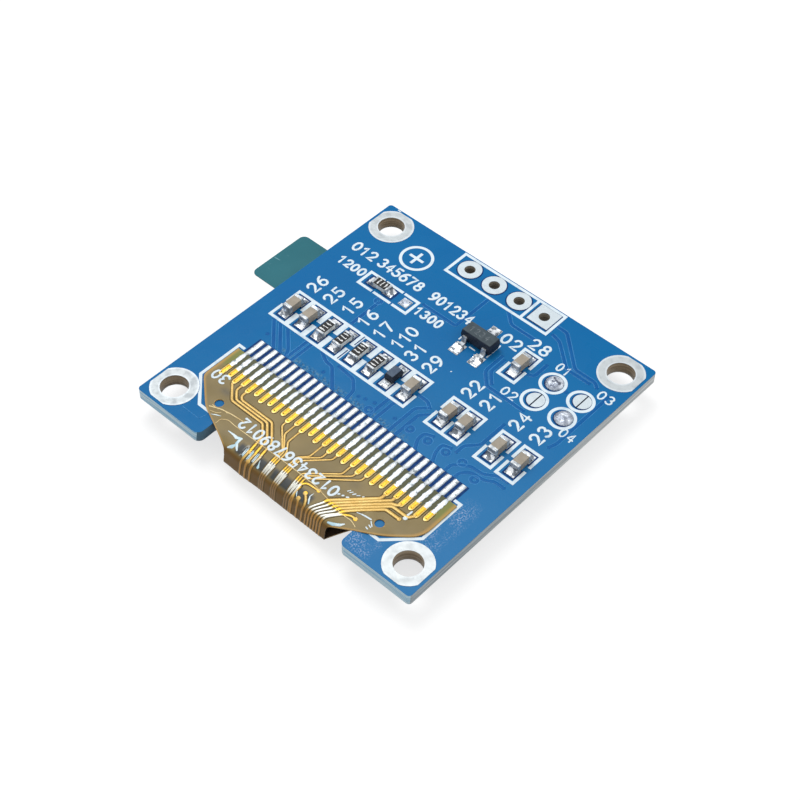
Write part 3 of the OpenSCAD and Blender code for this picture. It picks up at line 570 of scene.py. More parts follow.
mask_dots = [
    (2.3, -3.0), (-10.55, -3.4), (-4.7, -3.3), (-1.1, -3.25), (0.2, -2.9), (-0.55, -3.1), (9.9, 7.6),
]
run_width = 0.3
run_bend = 0.25
via_radius = 0.26
dot_radius = 0.1
runs = draw_set("mask_traces")
for line in mask_runs:
    draw(runs, rounded(line, run_bend), run_width)
for x, y in mask_vias:
    draw(runs, arc(x, y, via_radius, via_radius, 0, 340, 17), 0.26, closed=True)
for x, y in mask_dots:
    draw(runs, arc(x, y, dot_radius, dot_radius, 0, 324, 9), 0.14, closed=True)
lay_on_board(runs, 0.07, board_top, trace_finish, "board_mask")


def beside(points, distance):
    """The same line moved sideways."""
    points = [Vector(p) for p in points]
    line = []
    for k, point in enumerate(points):
        run = points[min(k + 1, len(points) - 1)] - points[max(k - 1, 0)]
        line.append(point + Vector((-run.y, run.x)).normalized() * distance)
    return line


# Painted highlights: the mask catches light along both sides of each run
mask_highlight_finish = Finish("mask_trace_highlights", 0.3, gloss=0.2)
mask_highlight_finish.mottle((58, 138, 198), (42, 122, 184), 500, 0.35, 0.65)
highlight_width = 0.06
highlight_offset = 0.16
outer_highlight = 0.4
inner_highlight = 0.12
highlight_lines = draw_set("mask_trace_highlights")
for line in mask_runs:
    for side in (-1, 1):
        draw(highlight_lines, beside(rounded(line, run_bend), side * highlight_offset), highlight_width)
for x, y in mask_vias:
    draw(highlight_lines, arc(x, y, outer_highlight, outer_highlight, 0, 340, 17), 0.07, closed=True)
    draw(highlight_lines, arc(x, y, inner_highlight, inner_highlight, 0, 320, 8), 0.05, closed=True)
# A trace near the lower left corner shows by one faint line of painted highlight only
draw(highlight_lines, [(-9.9, -12.8), (-8.15, -12.8), (-8.0, -12.1)], highlight_width)
lay_on_board(highlight_lines, 0.25, board_top + 0.004, mask_highlight_finish, "board_mask")

# ---- Printed legend ----
# White ink, screen printed: outlines round every chip, and plain numbers beside them.
# The ink stands a little proud and its strokes have round ends.
ink_finish = Finish("white_ink", 0.55)
ink_finish.mottle((224, 238, 246), (196, 216, 230), 1400, 0.5, 0.75, 3)
ink_finish.grain(3200, 0.004, 0.5)
dress(nodes["legend"], ink_finish)

# One stroke list for each digit, in a box 0.6 wide and 1 high
digit_strokes = {
    "0": [arc(0.3, 0.5, 0.3, 0.5, 0, 342, 19)],
    "1": [[(0.1, 0.76), (0.36, 1.0), (0.36, 0.0)]],
    "2": [arc(0.3, 0.7, 0.29, 0.3, 165, -35, 10) + [(0.3, 0.25), (0.02, 0.0), (0.6, 0.0)]],
    "3": [arc(0.28, 0.76, 0.26, 0.24, 150, -80, 9) + arc(0.28, 0.27, 0.31, 0.27, 70, -150, 10)],
    "4": [[(0.46, 0.0), (0.46, 1.0), (0.24, 0.65), (0.0, 0.3), (0.6, 0.3)]],
    "5": [[(0.55, 1.0), (0.1, 1.0), (0.06, 0.58)] + arc(0.27, 0.31, 0.33, 0.31, 115, -145, 11)],
    "6": [arc(0.3, 0.3, 0.3, 0.3, 0, 342, 19), arc(0.62, 0.3, 0.62, 0.7, 100, 180, 8)],
    "7": [[(0.0, 1.0), (0.58, 1.0), (0.36, 0.5), (0.2, 0.0)]],
    "8": [arc(0.3, 0.76, 0.24, 0.24, 0, 340, 17), arc(0.3, 0.27, 0.3, 0.27, 0, 342, 19)],
    "9": [arc(0.3, 0.7, 0.3, 0.3, 0, 342, 19), arc(-0.02, 0.7, 0.62, 0.7, -80, 0, 8)],
}
closed_digits = {("0", 0), ("6", 0), ("8", 0), ("8", 1), ("9", 0)}


def write(piece, text, x, y, height, pitch, pen, turn=0):
    """Writes digits from a lower left corner, in millimetres; turn is in quarter turns."""
    spin = Matrix.Rotation(math.radians(90 * turn), 2)
    wide = height * min(1.0, (pitch - 0.26) / (0.6 * height))
    for place_no, digit in enumerate(text):
        for stroke_no, stroke in enumerate(digit_strokes.get(digit, ())):
            line = [Vector((x, y)) + spin @ Vector((place_no * pitch + px * wide, py * height))
                    for px, py in stroke]
            draw(piece, line, pen, closed=(digit, stroke_no) in closed_digits)


pen = 0.22
fine_pen = 0.16
labels = draw_set("printed_numbers")
upright = [  # text, left edge and lower edge of its glyphs, glyph height, pitch
    ("012", -12.45, 7.88, 0.92, 0.83), ("345678", -9.6, 7.88, 0.92, 0.77), ("901234", -4.1, 7.88, 0.92, 0.72),
    ("1200", -12.3, 6.05, 0.78, 0.72), ("1300", -4.0, 5.95, 0.8, 0.7),
    ("28", 4.8, 9.28, 1.02, 1.02), ("02", 2.85, 8.25, 1.0, 0.98),
    ("01", 7.8, 8.88, 0.78, 0.66), ("02", 6.25, 4.22, 0.78, 0.76),
    ("03", 11.8, 8.78, 0.8, 0.76), ("04", 12.0, 3.98, 0.8, 0.7),
]
for text, x, y, height, pitch in upright:
    write(labels, text, x, y, height, pitch, fine_pen if x > 6 else pen)
standing = [  # text, right edge and lower edge, for numbers that read from the lower edge up
    ("26", -11.0, 2.25), ("25", -9.2, 2.25), ("15", -7.35, 2.35), ("16", -5.6, 2.25), ("17", -3.85, 2.15),
    ("110", -2.12, 2.3), ("31", -0.5, 2.15), ("29", 1.3, 2.1), ("22", 5.1, 2.25), ("21", 6.9, 2.25),
    ("24", 9.7, 2.25), ("23", 11.65, 2.25),
]
for text, x, y in standing:
    write(labels, text, x, y, height=1.0, pitch=0.98 if len(text) == 2 else 0.86, pen=pen, turn=1)
# Two stray marks: a dot of ink beside the row, and a short stroke by the upper left ring
draw(labels, [(2.25, 3.29), (2.29, 3.33)], 0.1)
draw(labels, [(-12.68, 13.78), (-12.44, 13.78)], 0.12)
lay_on_board(labels, 0.16, board_top, ink_finish, "legend_ink")

# ---- Chip capacitors and resistors ----
# Layered ceramic blocks fired tan, and white ceramic chips with a black glaze and a printed value.
# Both have tinned ends that wrap a little way over every side, and sit a touch askew on their lands.
copper_rise = 0.035
land_top = board_top + copper_rise
tan_finish = Finish("capacitor_ceramic", 0.42)
tan_finish.mottle((160, 150, 134), (146, 136, 120), 1500, 0.3, 0.7)
tan_finish.grain(5200, 0.004, 0.4, 0.4, 0.6)
end_finish = Finish("tinned_chip_end", 0.36, 0.75)
end_finish.mottle((186, 191, 195), (132, 138, 144), 2600, 0.35, 0.68, 3)
end_finish.grain(3600, 0.01, 0.5, 0.4, 0.6)
white_finish = Finish("resistor_ceramic", 0.5)
white_finish.mottle((228, 228, 222), (205, 205, 198), 3000)
glaze_finish = Finish("black_glaze", 0.35, gloss=0.2)
glaze_finish.mottle((12, 14, 18), (24, 26, 30), 2200, 0.3, 0.7)
glaze_finish.grain(3000, 0.006, 0.5, 0.4, 0.6)


def block(size, place):
    """A box of a size round a place, in millimetres."""
    bpy.ops.mesh.primitive_cube_add(size=1, location=Vector(place) * mm, scale=Vector(size) * mm)
    bpy.ops.object.transform_apply(location=True, rotation=True, scale=True)
    return bpy.context.object


def fuse(pieces, piece_name):
    """Joins pieces into one."""
    work_on(*pieces)
    if len(pieces) > 1:
        bpy.ops.object.join()
    pieces[0].name = piece_name
    return pieces[0]


def copies(model, piece_name, places):
    """One piece of copies of a model, each at x, y, z in millimetres and a turn in degrees."""
    made = []
    for x, y, z, turn in places:
        copy = model.copy()
        copy.data = model.data.copy()
        bpy.context.scene.collection.objects.link(copy)
        copy.location = Vector((x, y, z)) * mm
        copy.rotation_euler.z = math.radians(turn)
        made.append(copy)
    work_on(*made)
    bpy.ops.object.transform_apply(location=True, rotation=True, scale=True)
    return fuse(made, piece_name)


def discard(*pieces):
    for piece in pieces:
        bpy.data.objects.remove(piece)


def chip_seat(node_name, tilt):
    """Where a chip stands, and its turn in degrees."""
    centre, size = middle(node_name)
    return centre.x, centre.y, land_top, tilt + (90 if size.x > size.y else 0)


chip_length = 1.6
chip_width = 0.8
capacitor_height = 0.75
resistor_height = 0.45
askew = [1.2, -0.8, 0.5, -1.5, 1.0, -0.4, 1.6, -1.1, 0.7, -0.6, 1.3, -1.2, 0.4]
capacitor_nodes = [f"capacitor_{k}" for k in range(1, 9)]
resistor_nodes = [f"resistor_{k}" for k in range(1, 6)]
capacitor_seats = [chip_seat(name, tilt) for name, tilt in zip(capacitor_nodes, askew)]
resistor_seats = [chip_seat(name, tilt) for name, tilt in zip(resistor_nodes, askew[8:])]


def chip_bodies(names, seats, finish, slot_name, width, height, lift, edge):
    """Rounded ceramic blocks, one for each chip."""
    body = block((width, chip_length - 0.1, height), (0, 0, lift))
    round_edges(body, edge)
    for name, spot in zip(names, seats):
        seat(copies(body, name + "_body", [spot]), finish, slot_name, name)
    discard(body)


def chip_ends(kind, seats, height, wrap):
    """The metal ends of all chips of a kind, each a rounded shoe round the end of its body."""
    shoes = [block((chip_width, wrap, height), (0, side * (chip_length - wrap) / 2, height / 2))
             for side in (-1, 1)]
    pair = fuse(shoes, "shoes")
    round_edges(pair, 0.07, 3)
    seat(copies(pair, kind + "_metal_ends", seats), end_finish, "chip_end", kind + "_ends")
    discard(pair)


chip_bodies(capacitor_nodes, capacitor_seats, tan_finish, "capacitor_ceramic",
            width=0.77, height=0.72, lift=0.37, edge=0.04)
chip_ends("capacitor", capacitor_seats, capacitor_height, wrap=0.34)
chip_bodies(resistor_nodes, resistor_seats, white_finish, "resistor_ceramic",
            width=0.78, height=0.4, lift=0.22, edge=0.02)
glaze_size = (0.76, chip_length - 0.44, 0.05)
glaze = block(glaze_size, (0, 0, resistor_height - glaze_size[2] / 2))
round_edges(glaze, 0.02)
piece = copies(glaze, "resistor_glaze_coat", resistor_seats)
seat(piece, glaze_finish, "resistor_glaze", "resistor_glaze")
discard(glaze)
chip_ends("resistor", resistor_seats, resistor_height, wrap=0.23)

# The mask keeps clear of each land, and its bare edge looks dark
land_side = 0.85
land_span = 2.6
land_gaps = draw_set("chip_land_gaps")
for x, y, _, turn in capacitor_seats + resistor_seats + [chip_seat("diode", 0)]:
    run = Vector((0, 1)) if abs(turn) < 45 else Vector((1, 0))
    for side in (-1, 1):
        spot = Vector((x, y)) + run * side * (land_span - land_side) / 2
        draw(land_gaps, square(spot.x, spot.y, land_side / 2 + 0.07), 0.2, closed=True)
lay_on_board(land_gaps, pressed_thin, board_top + hair, gap_finish, "board_mask")

# The values on the glaze read along the chip
value_finish = Finish("value_ink", 0.5)
value_finish.mottle((248, 250, 250), (226, 230, 230), 3000)
for set_no, (text, turn, corner, chosen) in enumerate((
    ("914", 1, (0.25, -0.47), resistor_seats[:1]),
    ("472", 3, (-0.25, 0.47), resistor_seats[1:3]),
    ("472", 1, (0.25, -0.47), resistor_seats[3:]),
)):
    marks = draw_set("resistor_values")
    write(marks, text, *corner, height=0.5, pitch=0.35, pen=0.08, turn=turn)
    to_mesh(marks, 0.1, resistor_height + hair)
    piece = copies(marks, f"resistor_numbers_{set_no}", chosen)
    discard(marks)
    seat(piece, value_finish, "legend_ink")

# Two frames of the row meet in a thin line of bare mask
split = draw_set("frame_split")
split_x = (resistor_seats[1][0] + resistor_seats[2][0]) / 2
row_y = resistor_seats[1][1]
split_length = 1.1
for start in (row_y - 1.5, row_y + 0.4):
    draw(split, [(split_x, start), (split_x, start + split_length)], 0.1)
lay_on_board(split, pressed_thin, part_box("legend")[1].z / mm + hair, gap_finish, "board_mask")

# ---- Diode and regulator ----
# Moulded in dark epoxy with drafted sides, and marked by laser on the regulator. The flat or
# bent legs are tinned copper alloy.


def moulded_epoxy(name, top, top_pale):
    """Dark moulding compound, paler and grainy on its top face."""
    finish = Finish(name, 0.55, gloss=0.3)
    finish.mottle((26, 33, 46), (36, 44, 58), 2400)
    upward = calc(finish.tree, "GREATER_THAN", finish.facing("Z"), 0.8)
    finish.coat(upward, mix(finish.tree, finish.patches(3000, 0.3, 0.7), top, top_pale))
    finish.grain(6000, 0.006, 0.5)
    return finish


piece = merged_copy("regulator", "regulator_body")
round_edges(piece, 0.05, 2, 20)
seat(piece, moulded_epoxy("regulator_epoxy", (50, 64, 72), (62, 76, 84)), "moulded_body", "regulator")
regulator_height = 1.1
mark_finish = Finish("laser_marking", 0.6, gloss=0.3)
mark_finish.mottle((108, 118, 124), (74, 84, 92), 3000, 0.4, 0.7)
engraving = draw_set("regulator_numbers")
write(engraving, "1234", 1.05, 6.72, height=0.5, pitch=0.5, pen=0.08)
lay_on_board(engraving, 0.1, board_top + regulator_height, mark_finish, "moulded_body")
piece = merged_copy("diode", "diode_body")
centre, size = middle("diode")
top_share = 0.9
for vertex in piece.data.vertices:
    if vertex.co.z / mm > centre.z + size.z * 0.3:
        vertex.co.x = centre.x * mm + (vertex.co.x - centre.x * mm) * top_share
        vertex.co.y = centre.y * mm + (vertex.co.y - centre.y * mm) * top_share
round_edges(piece, 0.04, 2, 20)
seat(piece, moulded_epoxy("diode_epoxy", (66, 82, 104), (78, 94, 114)), "moulded_body", "diode")
for name, shape in (("regulator_legs", "_bent"), ("diode_leads", "_flat")):
    piece = merged_copy(name, name + shape)
    round_edges(piece, 0.025)
    seat(piece, end_finish, "lead_metal", name)

# ---- Solder ----
# Tin and copper alloy. It wets each land and climbs the chip's end in a hollow curve, with a
# frosted, slightly lumpy skin and dark flecks of flux.
solder_finish = Finish("solder", 0.22, 0.9)
flecks = solder_finish.patches(2300, 0.48, 0.58, 3)
solder_finish.color = (230, 234, 238)
solder_finish.coat(flecks, (112, 118, 126))
solder_finish.grain(1700, 0.045, 0.9, detail=3)
solder_finish.roughen(flecks, 0.2, 0.5)
lumps = bpy.data.textures.new("lumps", "CLOUDS")
lumps.noise_scale = 0.3 * mm


def make_lumpy(piece, depth, levels=2):
    """Divides a piece finely and pushes its skin in and out a little."""
    work_on(piece)
    divide = piece.modifiers.new("divide", "SUBSURF")
    divide.subdivision_type = "SIMPLE"
    divide.levels = divide.render_levels = levels
    bpy.ops.object.modifier_apply(modifier=divide.name)
    push = piece.modifiers.new("push", "DISPLACE")
    push.texture = lumps
    push.texture_coords = "LOCAL"
    push.strength = depth * mm
    push.mid_level = 0.5
    bpy.ops.object.modifier_apply(modifier=push.name)
    bpy.ops.object.shade_smooth()


piece = merged_copy("chip_solder", "chip_solder_fillets")
round_edges(piece, 0.03, 1)
make_lumpy(piece, 0.06)
seat(piece, solder_finish, "solder", "chip_solder")

# Blobs that bridge two of the jumpers' split lands
blob_finish = Finish("frosted_solder", 0.4, 0.6)
blob_finish.mottle((206, 213, 222), (138, 146, 160), 1700, 0.36, 0.62, 3)
blob_finish.coat(blob_finish.patches(2600, 0.6, 0.66, 3), (84, 90, 104))
blob_finish.grain(1700, 0.03, 0.8, detail=3)
for name in ("jumper_solder_1", "jumper_solder_4"):
    centre, size = middle(name)
    bpy.ops.mesh.primitive_uv_sphere_add(segments=40, ring_count=24, radius=1, location=(0, 0, 0))
    piece = bpy.context.object
    piece.name = name + "_blob"
    piece.scale = (size.x / 2 * mm, size.y / 2 * mm, size.z * 0.9 * mm)
    piece.location = Vector((centre.x, centre.y, land_top)) * mm
    bpy.ops.object.transform_apply(location=True, rotation=True, scale=True)
    make_lumpy(piece, 0.12, 1)
    bpy.ops.object.mode_set(mode="EDIT")
    bpy.ops.mesh.select_all(action="SELECT")
    bpy.ops.mesh.bisect(plane_co=(0, 0, (land_top - 0.01) * mm), plane_no=(0, 0, 1), use_fill=True,
                        clear_inner=True)
    bpy.ops.object.mode_set(mode="OBJECT")
    seat(piece, blob_finish, "solder", name)

# A flat puddle on the address land that carries no resistor
puddle_side = 0.76
spare = block((puddle_side, puddle_side, 0.05), (-5.06, 6.25, land_top + 0.02))
spare.name = "spare_land_solder"
round_edges(spare, 0.02)
make_lumpy(spare, 0.05, 3)
seat(spare, blob_finish, "solder")

# ---- Flex cable ----
# A strip of amber polyimide film. It lies over the board's lower edge, turns round through the
# notch and is bonded to the display's glass ledge. It thins to a neck where it folds.
cable_low, cable_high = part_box("flex_cable")
cable_end = cable_high.y / mm
cable_top = cable_high.z / mm
ledge = cable_low.z / mm
mid_height = (cable_top + ledge) / 2
fold_front = cable_low.y / mm
# Side view of the film's outer skin: flat, a slow bend, a steep front, and a sharp turn back
skin = rounded([(cable_end, cable_top), (-12.35, cable_top), (fold_front + 0.22, cable_top - 0.27),
                (fold_front - 0.1, ledge - 0.1), (-12.5, ledge), (-8.13, ledge)], 0.42, 6)
skin_at = [0.0]
for before, after in zip(skin, skin[1:]):
    skin_at.append(skin_at[-1] + (after - before).length)
film_gauge = 0.1


def smooth(value, low, high):
    """A soft step from 0 to 1."""
    share = min(max((value - low) / (high - low), 0), 1)
    return share * share * (3 - 2 * share)


def skin_normal(k):
    run = skin[min(k + 1, len(skin) - 1)] - skin[max(k - 1, 0)]
    return Vector((run.y, -run.x)).normalized()


def wrap(x, y, height):
    """Lays a point of the flat film, y counted down from the cable's end, on the folded one."""
    ripple = 0.05 * smooth(-y, 9.0, 11.0) * (1 - smooth(-y, 15.0, 16.0))
    height += ripple * (noise.noise(Vector((x * 0.55, y * 0.7, 3.0))) - 0.5)
    run = min(max(cable_end - y, 0.0), skin_at[-1])
    k = min(bisect.bisect_right(skin_at, run), len(skin) - 1)
    share = (run - skin_at[k - 1]) / (skin_at[k] - skin_at[k - 1])
    spot = skin[k - 1].lerp(skin[k], share)
    spot += skin_normal(k - 1).lerp(skin_normal(k), share).normalized() * height
    return Vector((x, spot.x, spot.y)) * mm


def fold_over(piece):
    """Moves a flat piece, drawn at its height above the film, on to the folded film."""
    for vertex in piece.data.vertices:
        x, y, z = vertex.co / mm
        vertex.co = wrap(x, y, z)


def read_outline(outline, y):
    """The half width at a place on a list of places and half widths."""
    for (y0, w0), (y1, w1) in zip(outline, outline[1:]):
        if y0 >= y >= y1:
            return w0 + (w1 - w0) * (y0 - y) / max(y0 - y1, 0.0001)
    return outline[-1][1]


side_line = [(cable_end + 0.1, 11.0), (-9.65, 11.0), (-11.63, 8.7), (-13.39, 5.3), (-13.8, 5.3)]
upper_outline = {1: rounded(side_line, 0.9, 6), -1: rounded(side_line, 0.35, 6)}
lower_outline = [(-8.0, 7.1), (-9.63, 7.1), (-13.39, 5.3), (-13.8, 5.3)]


def half_width(flat_y, side):
    """Half the film's width at a place along the flat film; its left side is drawn in at the neck."""
    spot = wrap(0, flat_y, 0) / mm
    outline = upper_outline[1 if side >= 0 else -1] if spot.z >= mid_height else lower_outline
    width = read_outline(outline, max(min(spot.y, cable_end), fold_front))
    return width - (0.45 * smooth(-spot.y, 11.6, 13.4) if side < 0 else 0)


film_end = cable_end - skin_at[-1]
fold_depth = 12.2 + cable_end
# The film's mesh has finer rows where it folds
fold_start = -11.9
fold_end = -15.2
rows = []
y = cable_end
while y > film_end:
    rows.append(y)
    y -= 0.08 if fold_start > y > fold_end else 0.2
rows.append(film_end)
columns = 60
mesh = bpy.data.meshes.new("flex_film")
shares = [2 * c / columns - 1 for c in range(columns + 1)]
points = [wrap(half_width(y, share) * share, y, 0) for y in rows for share in shares]
quads = []
for r in range(len(rows) - 1):
    for c in range(columns):
        near = r * (columns + 1) + c
        far = near + columns + 1
        quads.append((near, far, far + 1, near + 1))
mesh.from_pydata(points, [], quads)
rim_distance = mesh.attributes.new("rim", "FLOAT", "POINT")
for r, y in enumerate(rows):
    for c, share in enumerate(shares):
        rim_distance.data[r * (columns + 1) + c].value = half_width(y, share) * (1 - abs(share))
film = bpy.data.objects.new("flex_film", mesh)
bpy.context.scene.collection.objects.link(film)

film_finish = Finish("polyimide_film", 0.34, gloss=0.2)
tree = film_finish.tree
film_finish.mottle((142, 124, 80), (128, 112, 72), 350, 0.3, 0.7)
# Greener on both sides of the soldered contacts, darker between them, and golden along the rim
between_flanks = film_finish.area(X=(-10.3, 10.3, 0.05))
soldered = times(tree, film_finish.area(Y=(-7.72, 0, 0.06)), between_flanks)
film_finish.coat(soldered, (80, 83, 54))
flanks = times(tree, film_finish.area(Y=(-7.9, 0, 0.3)), calc(tree, "SUBTRACT", 1.0, between_flanks))
film_finish.coat(flanks, (122, 126, 62))
rim = add_node(tree, "ShaderNodeAttribute", {"attribute_name": "rim"}).outputs["Fac"]
film_finish.coat(ramp(tree, rim, 0.1, 0.32, 0.65, 0), (196, 152, 78))
# Painted shade: darker patches beside the left routes, and between the last contacts and the bundle
for x_low, x_high, y_low, y_high, fade in (
    (-8.9, -8.0, -9.95, -9.5, 0.25), (3.9, 5.0, -9.7, -9.3, 0.45), (-4.6, -3.6, -12.0, -11.5, 0.4),
):
    film_finish.coat(film_finish.area(X=(x_low, x_high, fade), Y=(y_low, y_high, fade)), (92, 88, 76), 0.7)
# Painted shade and reflection: the bend is dark in stripes with fine specks of painted highlight, and the
# lower run is painted a shaded brown
bend = film_finish.area(X=(-4.1, 3.2, 0.15), Y=(-13.15, -12.25, 0.15), Z=(2.2, 9, 0.1))
bend = times(tree, bend, film_finish.patches(900, 0.22, 0.4, stretch=(1, 0.2, 0.2)))
film_finish.coat(bend, (60, 64, 64))
glint_specks = film_finish.area(X=(-3.6, -2.2, 0.1), Y=(-13.1, -12.1, 0.1))
glint_specks = times(tree, glint_specks, film_finish.patches(5000, 0.52, 0.58, stretch=(1, 0.4, 0.4)))
film_finish.coat(glint_specks, (190, 192, 186))
film_finish.coat(film_finish.area(Y=(-99, -13.2, 0.1)), (114, 84, 36))
film_finish.grain(900, 0.02, 0.4, 0.2, 0.8)
# Painted shade: the film's inner side, seen inside the fold, is dark brown
inner_shade_finish = Finish("polyimide_inner_painted_shade", 0.6)
inner_shade_finish.mottle((52, 36, 22), (66, 46, 28), 700)

film.data.materials.append(film_finish.material)
film.data.materials.append(inner_shade_finish.material)
film.data.materials.append(film_finish.material)
work_on(film)
wall = film.modifiers.new("gauge", "SOLIDIFY")
wall.thickness = film_gauge * mm
wall.offset = -1
wall.material_offset = 1
wall.material_offset_rim = 2
bpy.ops.object.modifier_apply(modifier=wall.name)
locating_hole_radius = 0.37
locating_hole_x = 8.05
locating_hole_depth = 4.78
for side in (-1, 1):
    bpy.ops.mesh.primitive_cylinder_add(
        vertices=32, radius=locating_hole_radius * mm, depth=1 * mm,
        location=(side * locating_hole_x * mm, (cable_end - locating_hole_depth) * mm, cable_top * mm),
    )
    drill = bpy.context.object
    work_on(film)
    cut = film.modifiers.new("locating_hole", "BOOLEAN")
    cut.object = drill
    cut.solver = "EXACT"
    bpy.ops.object.modifier_apply(modifier=cut.name)
    discard(drill)
work_on(film)
bpy.ops.object.shade_smooth_by_angle(angle=math.radians(40))
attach(film, "root")
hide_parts("flex_cable")

# ---- Contacts and traces ----
# Gold-plated copper on the film. Thirty contacts end in small plated holes; the fine traces run
# on under a clear cover film, round the fold and to the glass.
gold_finish = Finish("gold_contacts", 0.3, 0.35)
gold_finish.mottle((230, 184, 32), (218, 170, 20), 1500)
pale_gold_finish = Finish("gold_contact_rims", 0.35, 0.2)
pale_gold_finish.mottle((250, 222, 140), (240, 206, 120), 1500)
hole_finish = Finish("plated_hole", 0.6)
hole_finish.mottle((96, 70, 20), (70, 52, 18), 3000)
step_finish = Finish("shade_beside_copper", 0.4, gloss=0.2)
step_finish.mottle((108, 90, 50), (94, 78, 42), 1500)
covered_finish = Finish("covered_traces", 0.3, 0.2)
covered_finish.mottle((214, 178, 96), (204, 164, 78), 1200, 0.3, 0.7)
tree = covered_finish.tree
# The copper lies open just before the fold; over the fold it looks silvery from a painted reflection, and on
# the lower run brown from painted shade
covered_finish.coat(covered_finish.area(Y=(-12.4, -11.7, 0.05)), (246, 194, 34))
bare_spots = calc(tree, "SUBTRACT", 1.0, covered_finish.area(X=(1.75, 3.15, 0.05)))
bend = times(tree, covered_finish.area(X=(-2.2, 99, 0.1), Y=(-13.1, -12.08, 0.08)), bare_spots)
silvery = mix(tree, covered_finish.area(X=(3.2, 99, 0.1)), (200, 200, 190), (236, 236, 226))
covered_finish.coat(bend, silvery)
brown = mix(tree, covered_finish.area(X=(-2.0, 1.75, 0.05)), (172, 124, 50), (136, 100, 50))
covered_finish.coat(covered_finish.area(Y=(-99, -13.15, 0.08)), brown)

contact_number = 30
contact_pitch = 0.7
long_contact = 2.76
short_contact = 2.5


def contact_x(k):
    return (k - (contact_number - 1) / 2) * contact_pitch


def contact_length(k):
    return long_contact if k % 2 == 0 else short_contact


def dense(line, step=0.12):
    """Adds points along a line, so that it can follow the fold."""
    line = [Vector(p) for p in line]
    out = [line[0]]
    for a, b in zip(line, line[1:]):
        count = max(1, math.ceil((b - a).length / step)) if b.y < fold_start else 1
        out += [a.lerp(b, k / count) for k in range(1, count + 1)]
    return out


contact_root = cable_end - 1.5
faces = draw_set("gold_contact_faces")
rims = draw_set("gold_contact_edges")
holes = draw_set("plated_contact_holes")
steps = draw_set("copper_step_shadows")
for k in range(contact_number):
    x = contact_x(k)
    tip = cable_end - contact_length(k) + 0.2
    draw(faces, [(x, contact_root), (x, tip + 0.12), (x, tip + 0.04)], 0.34)
    draw(rims, [(x, contact_root), (x, tip)], 0.46)
    draw(steps, [(x, contact_root - 0.2), (x, tip)], 0.58)
    draw(holes, arc(x, tip + 0.02, 0.03, 0.03, 0, 300, 5), 0.06, closed=True)

# Each route is a width and its points, as x and the depth below the cable's end
routes = []
fold_slant = 0.28  # the routes shift this far to the right where they go over the fold
neck_depth = 4.85
bend_depth = 6.4
slant_end = 7.1
for k, (number, row, start) in enumerate(zip((2, 3, 4), (3.98, 3.7, 3.45), (2.8, 3.02, 3.17))):
    x = contact_x(number)
    at_fold = -3.45 + 0.48 * k
    routes.append((0.2, [
        (x, contact_length(number)), (x, start), (x + row - start, row), (at_fold - neck_depth + row, row),
        (at_fold, neck_depth), (at_fold + fold_slant, bend_depth), (at_fold + fold_slant, fold_depth),
    ]))
for number, start, at_fold, last in (
    (10, 3.15, -1.5, 4.75), (11, 3.58, -1.32, 4.8), (12, 3.95, -1.12, 4.7),
    (15, 3.85, -0.3, 4.55), (16, 3.36, -0.11, 4.45), (17, 2.95, 0.08, 4.62),
    (19, 3.42, 1.02, 5.3), (20, 3.06, 1.24, 5.4), (21, 2.92, 1.5, 5.5),
):
    x = contact_x(number)
    routes.append((0.15, [
        (x, contact_length(number)), (x, start), (at_fold, last), (at_fold + fold_slant, slant_end),
        (at_fold + fold_slant, fold_depth),
    ]))


def slant_x(k, depth):
    return contact_x(24) - (depth - 3.12) + 0.35 * k


# The five widest routes gather from the last contacts and slant down side by side
heads = [
    [(contact_x(24), 2.76), (contact_x(24), 3.12)],
    [(contact_x(25), 2.5), (contact_x(25), 2.72)],
    [(contact_x(26), 2.66), (slant_x(2, 2.95) + 0.3, 2.85), (slant_x(2, 2.95), 2.95)],
    [(contact_x(28), 2.66), (contact_x(28) - 0.3, 3.1), (slant_x(3, 3.1), 3.1)],
    [(contact_x(27) + 0.05, 3.6), (slant_x(4, 3.6), 3.6)],
]
strip_depth = 11.8 + cable_end
narrow_depth = 13.02 + cable_end
for k, head in enumerate(heads):
    at_fold = 3.4 + 0.28 * k
    strip_x = 4.0 + 0.36 * k
    routes.append((0.27, head + [
        (slant_x(k, 4.9), 4.9), (strip_x, strip_depth), (strip_x - 0.08, strip_depth + 0.38),
        (at_fold + 0.05, narrow_depth), (at_fold, narrow_depth + 0.28),
    ]))
# Short stubs that start from small pads and end under the cover film
stubs = [
    [(3.0, 5.61), (1.95, 5.68), (1.66, 6.0), (1.75, 6.8), (1.95, 7.3)],
    [(2.43, 6.4), (2.85, 6.8), (3.02, 7.15)],
    [(2.3, 7.0), (2.5, 7.4)],
    [(6.58, 5.65), (6.2, 5.62), (5.6, 6.0), (4.85, 6.9), (4.8, 7.2)],
]
for stub in stubs:
    routes.append((0.18, stub))
traces = draw_set("covered_copper_traces")
lower_start = -15.4
lower_run = 3.0
for width, route in routes:
    line = rounded([(x, cable_end - depth) for x, depth in route], 0.18)
    x = line[-1].x
    line = dense(line + [Vector((x, lower_start)), Vector((x * 1.3, lower_start - lower_run))])
    narrowing = 0.38 if width > 0.25 else 0
    shares = [1 - narrowing * smooth(-p.y, 11.7, 12.3) for p in line]
    draw(traces, line, width, widths=shares)
    draw(steps, line, width + 0.14, widths=shares)
for x, depth in [(contact_x(27) + 0.05, 3.6), (-3.17, 6.49), (-2.69, 7.1)] + [stub[0] for stub in stubs]:
    draw(traces, arc(x, cable_end - depth, 0.11, 0.11, 0, 330, 11), 0.14, closed=True)


def lay_on_film(piece, flatness, height, finish, slot_name, *replaced):
    """Presses pen strokes flat, lays them on the folded film at a height and fixes them to it."""
    to_mesh(piece, flatness, height)
    fold_over(piece)
    seat(piece, finish, slot_name, *replaced)


